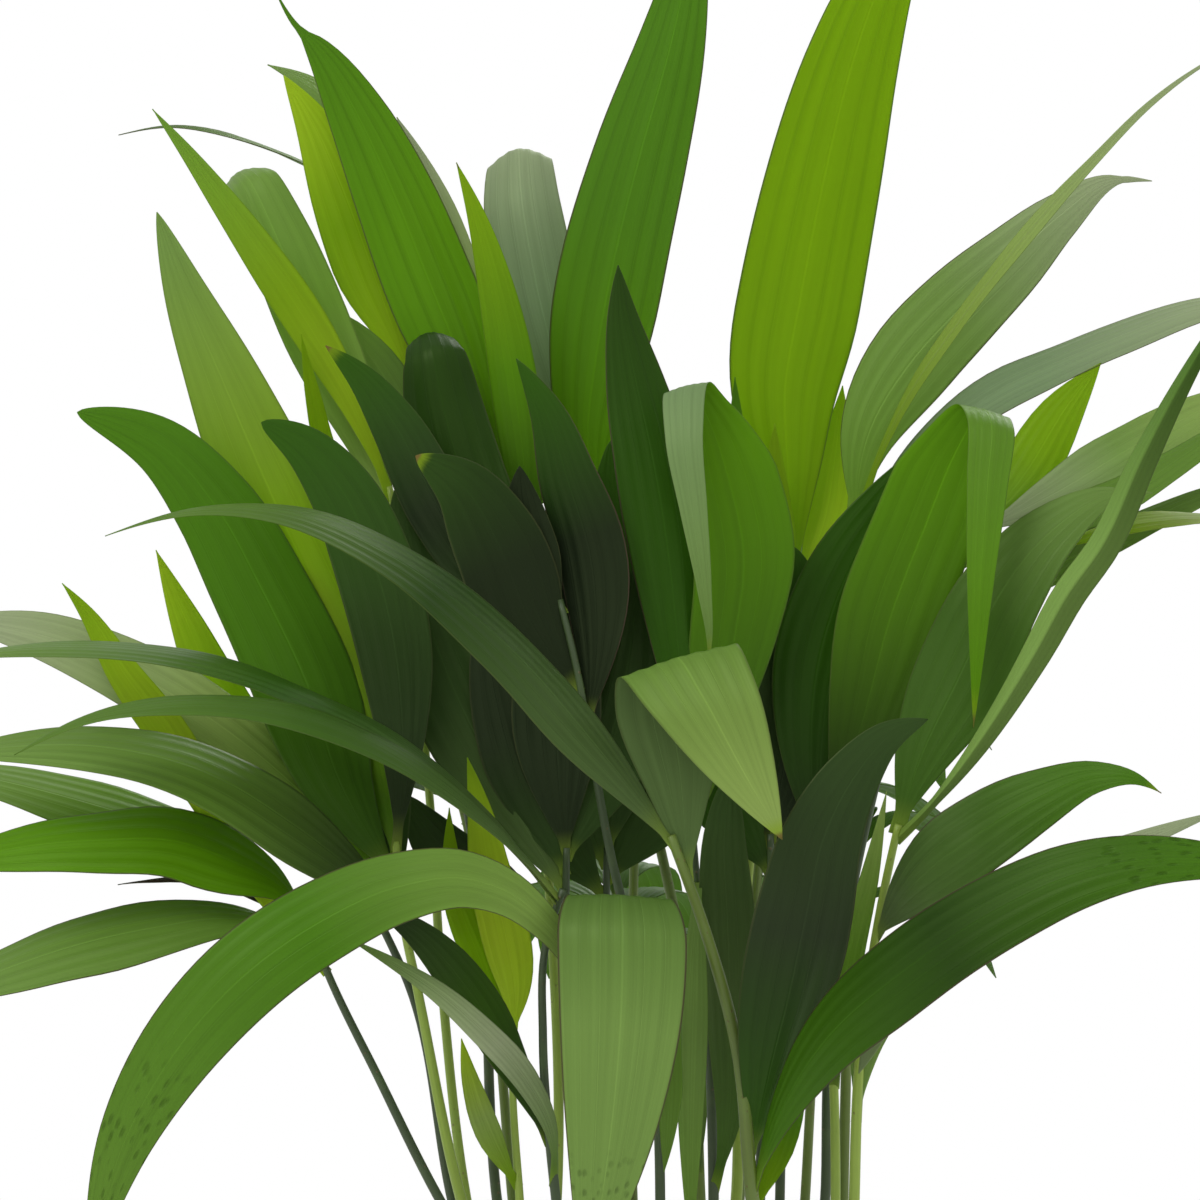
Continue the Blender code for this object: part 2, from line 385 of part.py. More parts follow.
    ("frond_dark_mid", "cane_11", 2, "dark", [
        (-0.9, -0.6, 24.0), (-1.2, -1.5, 30.0), (-1.3, -1.8, 32.4), (-1.3, -2.2, 34.6)], [
        ((-1.3, -1.9, 33.0), [(-3.4, -2.9, 35.8), (-5.0, -3.1, 38.0), (-5.8, -3.0, 40.6),
                              (-6.0, -2.8, 42.6)],
         3.2, 0, 0, 0.45, 0.7, 0.1),
        ((-1.3, -2.1, 34.0), [(-2.6, -2.9, 37.2), (-3.3, -3.0, 40.2), (-3.6, -2.8, 43.4)],
         3.2, 0, 0, 0.42, 0.7, 0.1),
        ((-1.3, -2.2, 34.5), [(-0.9, -2.8, 37.4), (-0.8, -2.8, 41.0), (-1.15, -2.5, 46.8)],
         3.2, 0, 0, 0.42, 0.7, 0.1),
        ((-1.3, -2.0, 33.5), [(0.3, -2.4, 36.2), (1.4, -2.5, 38.6), (1.7, -2.4, 41.4)],
         3.0, 0, 0, 0.45, 0.7, 0.1),
    ]),
    ("frond_dark_right", "cane_05", 1, "dark", [
        (3.3, -1.6, 24.0), (3.5, -2.2, 30.0), (3.6, -2.4, 33.0), (3.6, -2.6, 35.0)], [
        ((3.6, -2.6, 34.8), [(4.2, -2.7, 38.4), (4.45, -2.5, 41.2), (4.3, -2.1, 43.6)],
         2.9, 0, 0, 0.45, 0.7, 0.1),
        ((3.6, -2.55, 34.4), [(2.9, -2.8, 38.2), (2.5, -2.7, 41.2), (2.6, -2.2, 43.8)],
         2.9, 0, 0, 0.45, 0.7, 0.1),
        ((3.6, -2.5, 33.8), [(2.3, -2.9, 36.0), (1.3, -3.2, 38.2), (0.7, -3.1, 40.2)],
         2.5, 0, 0, 0.5, 0.7, 0.1),
    ]),
    ("frond_dark_far", "cane_08", 1, "dark", [
        (3.9, 0.6, 24.0), (4.1, 0.1, 30.0), (4.4, -0.6, 34.8)], [
        ((4.4, -0.5, 34.2), [(5.3, -1.0, 37.0), (6.3, -1.1, 39.4), (6.9, -1.1, 42.0)],
         2.9, 0, 0, 0.45, 0.7, 0.1),
        ((4.4, -0.6, 34.7), [(4.5, -1.1, 37.6), (4.7, -1.2, 40.6), (5.0, -1.0, 43.4)],
         3.0, 0, 0, 0.42, 0.7, 0.1),
        ((4.4, -0.5, 34.0), [(3.2, -1.0, 36.4), (2.2, -1.2, 39.2), (1.8, -1.1, 42.4)],
         3.0, 0, 0, 0.42, 0.7, 0.1),
    ]),
]

REAR_STRAIGHT = 24.0
REAR_WIDTH = 2.4
# Fronds at the back: name, cane, slot, lean bearing in degrees, reach, height, leaflet pairs, leaflet length
REAR_FRONDS = [
    ("frond_back_01", "cane_11", 0, 122, 8.0, 41.8, 3, 8.0),
    ("frond_back_02", "cane_09", 0, 112, 9.5, 38.0, 2, 8.0),
    ("frond_back_03", "cane_12", 1, 92, 12.0, 33.0, 3, 6.6),
    ("frond_back_04", "cane_12", 0, 86, 6.5, 46.2, 2, 8.0),
    ("frond_back_05", "cane_10", 1, 76, 9.5, 38.4, 2, 7.6),
    ("frond_back_06", "cane_10", 0, 56, 5.0, 42.8, 2, 7.0),
    ("frond_back_07", "cane_08", 0, 70, 6.0, 34.6, 2, 5.8),
]

COLOURS = {
    "deep": (0.030, 0.105, 0.016),
    "dark": (0.012, 0.042, 0.012),
    "fresh": (0.060, 0.180, 0.022),
    "bright": (0.070, 0.230, 0.018),
    "lime": (0.170, 0.370, 0.020),
    "grey": (0.060, 0.150, 0.045),
}


def material(name, colour, roughness, metallic=0.0):
    made = bpy.data.materials.new(name)
    made.use_nodes = True
    shader = made.node_tree.nodes["Principled BSDF"]
    shader.inputs["Base Color"].default_value = (*colour, 1.0)
    shader.inputs["Roughness"].default_value = roughness
    shader.inputs["Metallic"].default_value = metallic
    made.diffuse_color = (*colour, 1.0)
    return made


def collection(name):
    made = bpy.data.collections.new(name)
    bpy.context.scene.collection.children.link(made)
    return made


def add_object(bm, name, group, surface=None):
    mesh = bpy.data.meshes.new(name)
    bm.to_mesh(mesh)
    bm.free()
    obj = bpy.data.objects.new(name, mesh)
    group.objects.link(obj)
    if surface is not None:
        mesh.materials.append(surface)
    return obj


def turned(name, profile, group, surface, steps):
    """A turned piece: the profile, radius and height in centimetres, spun about the Z axis."""
    bm = bmesh.new()
    verts = [bm.verts.new((r * CM, 0.0, z * CM)) for r, z in profile]
    for a, b in zip(verts, verts[1:]):
        bm.edges.new((a, b))
    obj = add_object(bm, name, group, surface)
    screw = obj.modifiers.new("Turn", "SCREW")
    screw.axis = "Z"
    screw.angle = math.tau
    screw.steps = steps
    screw.render_steps = steps
    screw.use_merge_vertices = True
    screw.merge_threshold = 0.00001
    screw.use_normal_calculate = True
    return obj


def smooth_route(points, count, bend=0.0):
    """Stations on a smooth curve through the points, closer where it bends.

    Each comes with its share of the length."""
    p = np.array(points, float)
    gaps = np.linalg.norm(np.diff(p, axis=0), axis=1)
    slopes = np.empty_like(p)
    chords = np.diff(p, axis=0) / gaps[:, None]
    before, after = gaps[:-1, None], gaps[1:, None]
    slopes[1:-1] = (chords[:-1] * after + chords[1:] * before) / (before + after)
    slopes[0] = chords[0] if len(p) == 2 else 1.5 * chords[0] - 0.5 * slopes[1]
    slopes[-1] = chords[-1] if len(p) == 2 else 1.5 * chords[-1] - 0.5 * slopes[-2]
    fine = []
    for i, gap in enumerate(gaps):
        t = np.linspace(0.0, 1.0, 24, endpoint=i == len(gaps) - 1)[:, None]
        fine.append((2 * t**3 - 3 * t**2 + 1) * p[i] + (t**3 - 2 * t**2 + t) * gap * slopes[i]
                    + (3 * t**2 - 2 * t**3) * p[i + 1] + (t**3 - t**2) * gap * slopes[i + 1])
    fine = np.concatenate(fine)
    steps = np.diff(fine, axis=0)
    sizes = np.linalg.norm(steps, axis=1)
    turns = np.zeros(len(sizes))
    cosines = np.sum(steps[1:] * steps[:-1], axis=1) / (sizes[1:] * sizes[:-1])
    turns[1:] = np.arccos(np.clip(cosines, -1.0, 1.0))
    run = np.concatenate([[0.0], np.cumsum(sizes)])
    pace = np.concatenate([[0.0], np.cumsum(sizes + bend * turns)])
    wanted = np.linspace(0.0, pace[-1], count + 1)
    stations = np.stack([np.interp(wanted, pace, fine[:, k]) for k in range(3)], axis=1)
    return stations, np.interp(wanted, pace, run) / run[-1], pace[-1]


def station_frames(line, face, roll, twist):
    """Tangent and blade normal at each station; the normal is carried along without spinning."""
    tangents = np.gradient(line, axis=0)
    tangents /= np.linalg.norm(tangents, axis=1)[:, None]
    normals = np.empty_like(line)
    carried = np.array(face, float)
    for i, along in enumerate(tangents):
        carried = carried - along * carried.dot(along)
        carried /= np.linalg.norm(carried)
        turn = math.radians(roll + twist * i / (len(line) - 1))
        normals[i] = carried * math.cos(turn) + np.cross(along, carried) * math.sin(turn)
    return tangents, normals


def blade_share(u, belly, taper):
    """Share of the widest half width at u, from 0 at the foot to 1 at the tip."""
    if u < belly:
        return math.sin(math.pi / 2 * u / belly) ** FOOT_CURVE
    return math.sin(math.pi / 2 * (1.0 - u) / (1.0 - belly)) ** taper


def prism(bm, sides, rings):
    """A closed prism along +Z with cuts across it; each new vertex comes with its ring number."""
    first_vert = len(bm.verts)
    first_edge = len(bm.edges)
    bmesh.ops.create_cone(bm, cap_ends=True, segments=sides, radius1=1.0, radius2=1.0, depth=1.0)
    bm.edges.ensure_lookup_table()
    upright = [e for e in bm.edges[first_edge:] if abs(e.verts[0].co.z - e.verts[1].co.z) > 0.5]
    bmesh.ops.subdivide_edges(bm, edges=upright, cuts=rings - 1)
    bm.verts.ensure_lookup_table()
    return [(v, round((v.co.z + 0.5) * rings)) for v in bm.verts[first_vert:]]


def add_tube(bm, line, radii, sides):
    tangents, normals = station_frames(line, (0.0, -1.0, 0.05), 0.0, 0.0)
    for vert, ring in prism(bm, sides, len(line) - 1):
        side = np.cross(normals[ring], tangents[ring])
        spot = line[ring] + (side * vert.co.x + normals[ring] * vert.co.y) * radii[ring]
        vert.co = spot * CM


def add_leaflet(bm, points, width, roll, twist, belly, taper, fold, face=(0.0, -1.0, 0.05), hinge=None,
                narrow=(1.0, 1.0)):
    """A blade along the points. A hinge, where given, is the fixed direction across a blade that folds over,
    and such a blade may close lengthwise past a share of its length, to a share of its width."""
    _, _, pace = smooth_route(points, 8, BEND_PACE)
    rings = max(LEAF_RINGS[0], min(LEAF_RINGS[1], round(pace / LEAF_STEP)))
    line, shares, _ = smooth_route(points, rings, BEND_PACE)
    tangents, normals = station_frames(line, face, roll, twist)
    for vert, ring in prism(bm, 4, rings):
        u = shares[ring]
        closed = min(max((u - narrow[0]) / 0.1 + 1.0, 0.0), 1.0)
        open_width = width * (1.0 - closed * (1.0 - narrow[1]))
        half = max(open_width / 2 * blade_share(u, belly, taper), LEAF_FOOT / 2 * (1.0 - u) + LEAF_TIP / 2)
        thick = LEAF_THICKNESS / 2 * (1.3 - 0.8 * u)
        normal = normals[ring]
        side = np.cross(normal, tangents[ring])
        if hinge is not None:
            side = np.array(hinge) / np.linalg.norm(hinge)
            normal = np.cross(tangents[ring], side)
            normal /= np.linalg.norm(normal)
        off = normal * (vert.co.y * thick - abs(vert.co.x) * half * fold)
        vert.co = (line[ring] + side * vert.co.x * half + off) * CM


def cane_slot(cane, slot):
    """Where a frond's stalk starts: beside the middle of its stem base's top."""
    _, x, y, height, bearing = next(c for c in CANES if c[0] == cane)
    angle = math.radians(bearing + 120 * slot)
    out = np.array([math.cos(angle), math.sin(angle), 0.0])
    foot = np.array([x, y, SOIL_TOP + GAP + height + GAP]) + out * STALK_SPREAD
    return [foot, foot + out * 0.4 * STALK_SPREAD + np.array([0.0, 0.0, STALK_RISE])]


def add_frond(name, cane, slot, route, leaflets, group, surface):
    """A stalk and its leaflets, joined in one closed body."""
    line, _, _ = smooth_route(cane_slot(cane, slot) + route, STALK_RINGS)
    shares = np.linspace(0, 1, STALK_RINGS + 1)
    radii = np.interp(shares, [0, 0.5, 1], [STALK_RADIUS, STALK_MID_RADIUS, STALK_TIP_RADIUS])
    bm = bmesh.new()
    add_tube(bm, line, radii, STALK_SIDES)
    stalk = add_object(bm, name, group, surface)
    fine, _, _ = smooth_route(line, 200)
    blades = []
    for start, path, width, roll, twist, belly, taper, fold, *more in leaflets:
        foot = fine[np.argmin(np.linalg.norm(fine[:-3] - np.array(start), axis=1))]
        bm = bmesh.new()
        add_leaflet(bm, [foot, *path], width, roll, twist, belly, taper, fold, **(more[0] if more else {}))
        blades.append(add_object(bm, name + "_leaflet", group))
        join = stalk.modifiers.new("Join", "BOOLEAN")
        join.operation = "UNION"
        join.solver = "MANIFOLD"  # EXACT drops or tears some of these thin closed blades
        join.object = blades[-1]
    graph = bpy.context.evaluated_depsgraph_get()
    joined = bpy.data.meshes.new_from_object(stalk.evaluated_get(graph))
    stalk.modifiers.clear()
    bare = stalk.data
    stalk.data = joined
    bpy.data.meshes.remove(bare)
    for blade in blades:
        bpy.data.objects.remove(blade)
    return stalk


def rear_frond(cane, bearing, reach, height, pairs, longest):
    """Route and leaflets of a frond that leans back over the pot's far side."""
    _, x, y, _, _ = next(c for c in CANES if c[0] == cane)
    angle = math.radians(bearing)
    out = np.array([math.cos(angle), math.sin(angle), 0.0])
    across = np.array([-math.sin(angle), math.cos(angle), 0.0])
    base = np.array([x, y, 0.0])
    up = np.array([0.0, 0.0, 1.0])
    bend = REAR_STRAIGHT + (height - REAR_STRAIGHT) * 0.6
    marks = [(0.18, REAR_STRAIGHT), (0.42, bend), (0.72, height - 1.2), (1.0, height)]
    route = [base + out * reach * share + up * z for share, z in marks]
    leaflets = []
    for k in range(pairs):
        for hand in (-1, 1):
            share = 0.62 + 0.36 * k / max(pairs - 1, 1) + 0.02 * hand
            rise = np.interp(share, [m[0] for m in marks], [m[1] for m in marks])
            start = base + out * reach * share + up * rise
            aim = out * (0.75 + 0.25 * k) + across * hand * (0.85 - 0.2 * k)
            aim /= np.linalg.norm(aim)
            size = longest - 0.8 * k + 0.5 * hand
            path = [start + aim * size * 0.33 + up * 1.2, start + aim * size * 0.68 + up * 0.8,
                    start + aim * size + up * (-1.6 - 0.5 * k)]
            width = REAR_WIDTH - 0.15 * k
            leaflets.append((start, path, width, 0, 0, 0.45, 0.8, 0.12, {"face": (0.0, 0.0, 1.0)}))
    return route, leaflets


def build_pot(group, cutters, surface):
    lip = POT_HEIGHT
    wall = POT_WALL
    slope = (POT_TOP_RADIUS - POT_BASE_RADIUS) / (POT_HEIGHT - RIM_DROP)
    inner = POT_BASE_RADIUS - wall + slope * FLOOR_TOP
    profile = [
        (0.0, FLOOR_TOP), (inner, FLOOR_TOP), (POT_TOP_RADIUS - wall, POT_HEIGHT - RIM_DROP),
        (RIM_RADIUS - wall - 0.1, lip - 0.35), (RIM_RADIUS - wall, lip), (RIM_RADIUS, lip),
        (RIM_RADIUS + 0.12, lip - 0.12), (RIM_RADIUS + 0.05, lip - RIM_DROP),
        (POT_TOP_RADIUS + 0.05, lip - RIM_DROP), (POT_TOP_RADIUS, lip - RIM_DROP - 0.15),
        (POT_BASE_RADIUS + 0.06, 0.3), (POT_BASE_RADIUS - 0.1, 0.0), (GROOVE_OUTER + 0.15, 0.0),
        (GROOVE_OUTER, GROOVE_RISE), (GROOVE_INNER, GROOVE_RISE), (GROOVE_INNER - 0.15, 0.0), (0.0, 0.0)]
    pot = turned("pot", profile, group, surface, POT_STEPS)
    bm = bmesh.new()
    for k in range(HOLE_COUNT):
        made = bmesh.ops.create_cone(bm, cap_ends=True, segments=16, radius1=HOLE_RADIUS * CM,
                                     radius2=HOLE_RADIUS * CM, depth=2.0 * CM)
        angle = math.tau * (k + 0.5) / HOLE_COUNT
        shift = (HOLE_RING_RADIUS * math.cos(angle) * CM, HOLE_RING_RADIUS * math.sin(angle) * CM, 0.0)
        bmesh.ops.translate(bm, verts=made["verts"], vec=shift)
    cutter = add_object(bm, "drain_hole_cutter", cutters)
    cutter.hide_render = True
    cutter.display_type = "WIRE"
    cut = pot.modifiers.new("Drain holes", "BOOLEAN")
    cut.operation = "DIFFERENCE"
    cut.solver = "EXACT"
    cut.object = cutter


def build_soil(group, surface):
    slope = (POT_TOP_RADIUS - POT_BASE_RADIUS) / (POT_HEIGHT - RIM_DROP)
    low = POT_BASE_RADIUS - POT_WALL - 2 * GAP + slope * FLOOR_TOP
    high = POT_TOP_RADIUS - POT_WALL - 2 * GAP
    bottom = FLOOR_TOP + GAP
    profile = [(0.0, SOIL_TOP), (high - 0.25, SOIL_TOP), (high, SOIL_TOP - 0.2), (low, bottom), (0.0, bottom)]
    turned("soil", profile, group, surface, POT_STEPS)


def build_canes(group, surface):
    for name, x, y, height, _ in CANES:
        line = np.array([(x, y, SOIL_TOP + GAP + height * share) for share, _ in CANE_SHAPE])
        bm = bmesh.new()
        add_tube(bm, line, [CANE_RADIUS * width for _, width in CANE_SHAPE], CANE_SIDES)
        add_object(bm, name, group, surface)


def main():
    for obj in list(bpy.data.objects):
        bpy.data.objects.remove(obj, do_unlink=True)
    palm = collection("potted_areca_palm")
    cutters = collection("cutters")
    build_pot(palm, cutters, material("pot_plastic", (0.018, 0.018, 0.019), 0.55))
    build_soil(palm, material("potting_soil", (0.030, 0.018, 0.011), 0.95))
    build_canes(palm, material("cane_skin", (0.110, 0.150, 0.030), 0.45))
    leaves = {key: material("leaf_" + key, colour, 0.38) for key, colour in COLOURS.items()}
    for name, cane, slot, colour, route, leaflets in FRONDS:
        add_frond(name, cane, slot, [np.array(p) for p in route], leaflets, palm, leaves[colour])
    for name, cane, slot, *sizes in REAR_FRONDS:
        route, leaflets = rear_frond(cane, *sizes)
        add_frond(name, cane, slot, route, leaflets, palm, leaves["deep"])


main()
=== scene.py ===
"""Potted areca palm: leaf blades with their veins, leaf stalks, stem bases with their collars, soil and pot.

Lengths in the tables are centimetres. The scene is in metres, +Z up, and the pot stands on z = 0.
The plant is seen from -Y, with +X to the right.
"""
import json
import math

import bpy
import bmesh
import numpy as np
from mathutils import Matrix, Vector, noise


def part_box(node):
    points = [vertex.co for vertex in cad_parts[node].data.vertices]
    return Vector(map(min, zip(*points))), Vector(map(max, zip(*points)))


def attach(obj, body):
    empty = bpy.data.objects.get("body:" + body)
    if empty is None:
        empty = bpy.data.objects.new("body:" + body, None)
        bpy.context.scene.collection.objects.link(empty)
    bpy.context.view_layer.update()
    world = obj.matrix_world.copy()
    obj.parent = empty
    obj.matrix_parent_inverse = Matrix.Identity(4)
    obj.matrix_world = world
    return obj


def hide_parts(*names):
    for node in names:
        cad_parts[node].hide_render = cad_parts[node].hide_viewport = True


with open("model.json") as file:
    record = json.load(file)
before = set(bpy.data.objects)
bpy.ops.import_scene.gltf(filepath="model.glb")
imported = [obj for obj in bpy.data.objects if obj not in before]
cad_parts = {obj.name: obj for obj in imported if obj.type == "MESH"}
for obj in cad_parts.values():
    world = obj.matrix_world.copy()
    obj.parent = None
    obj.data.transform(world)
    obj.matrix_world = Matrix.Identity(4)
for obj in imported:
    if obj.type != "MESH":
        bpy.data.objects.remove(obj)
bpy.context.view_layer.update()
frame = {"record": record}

bl_info = {
    "name": "Potted Areca Palm",
    "version": (1, 0, 0),
    "blender": (4, 5, 0),
    "location": "3D View > Sidebar > Palm",
    "description": "Builds a young areca palm in a nursery pot, leaf by leaf",
    "category": "Add Mesh",
}

CM = 0.01
GAP = 0.03
STEM_CROWN = 0.9
FACING = (0.0, -1.0, 0.05)
BEND_PACE = 2.0

# Stem bases: name, x, y, first frond's bearing in degrees
CANES = [
    ("cane_01", -2.1, -1.6, 45),
    ("cane_02", -4.3, 0.5, 95),
    ("cane_03", -3.7, -1.2, 50),
    ("cane_04", -0.4, -2.8, 90),
    ("cane_05", 3.9, -1.8, 30),
    ("cane_06", 2.0, -0.6, 10),
    ("cane_07", 5.7, -0.4, 90),
    ("cane_08", 4.3, 1.5, 80),
    ("cane_09", -3.5, 2.8, 110),
    ("cane_10", 2.2, 2.4, 20),
    ("cane_11", -1.0, 0.6, 100),
    ("cane_12", -0.6, 3.9, 30),
]
STALK_SPREAD = 0.30
STALK_LEAN = 0.12
STALK_RISE = 2.2
SLOT_TURN = 120

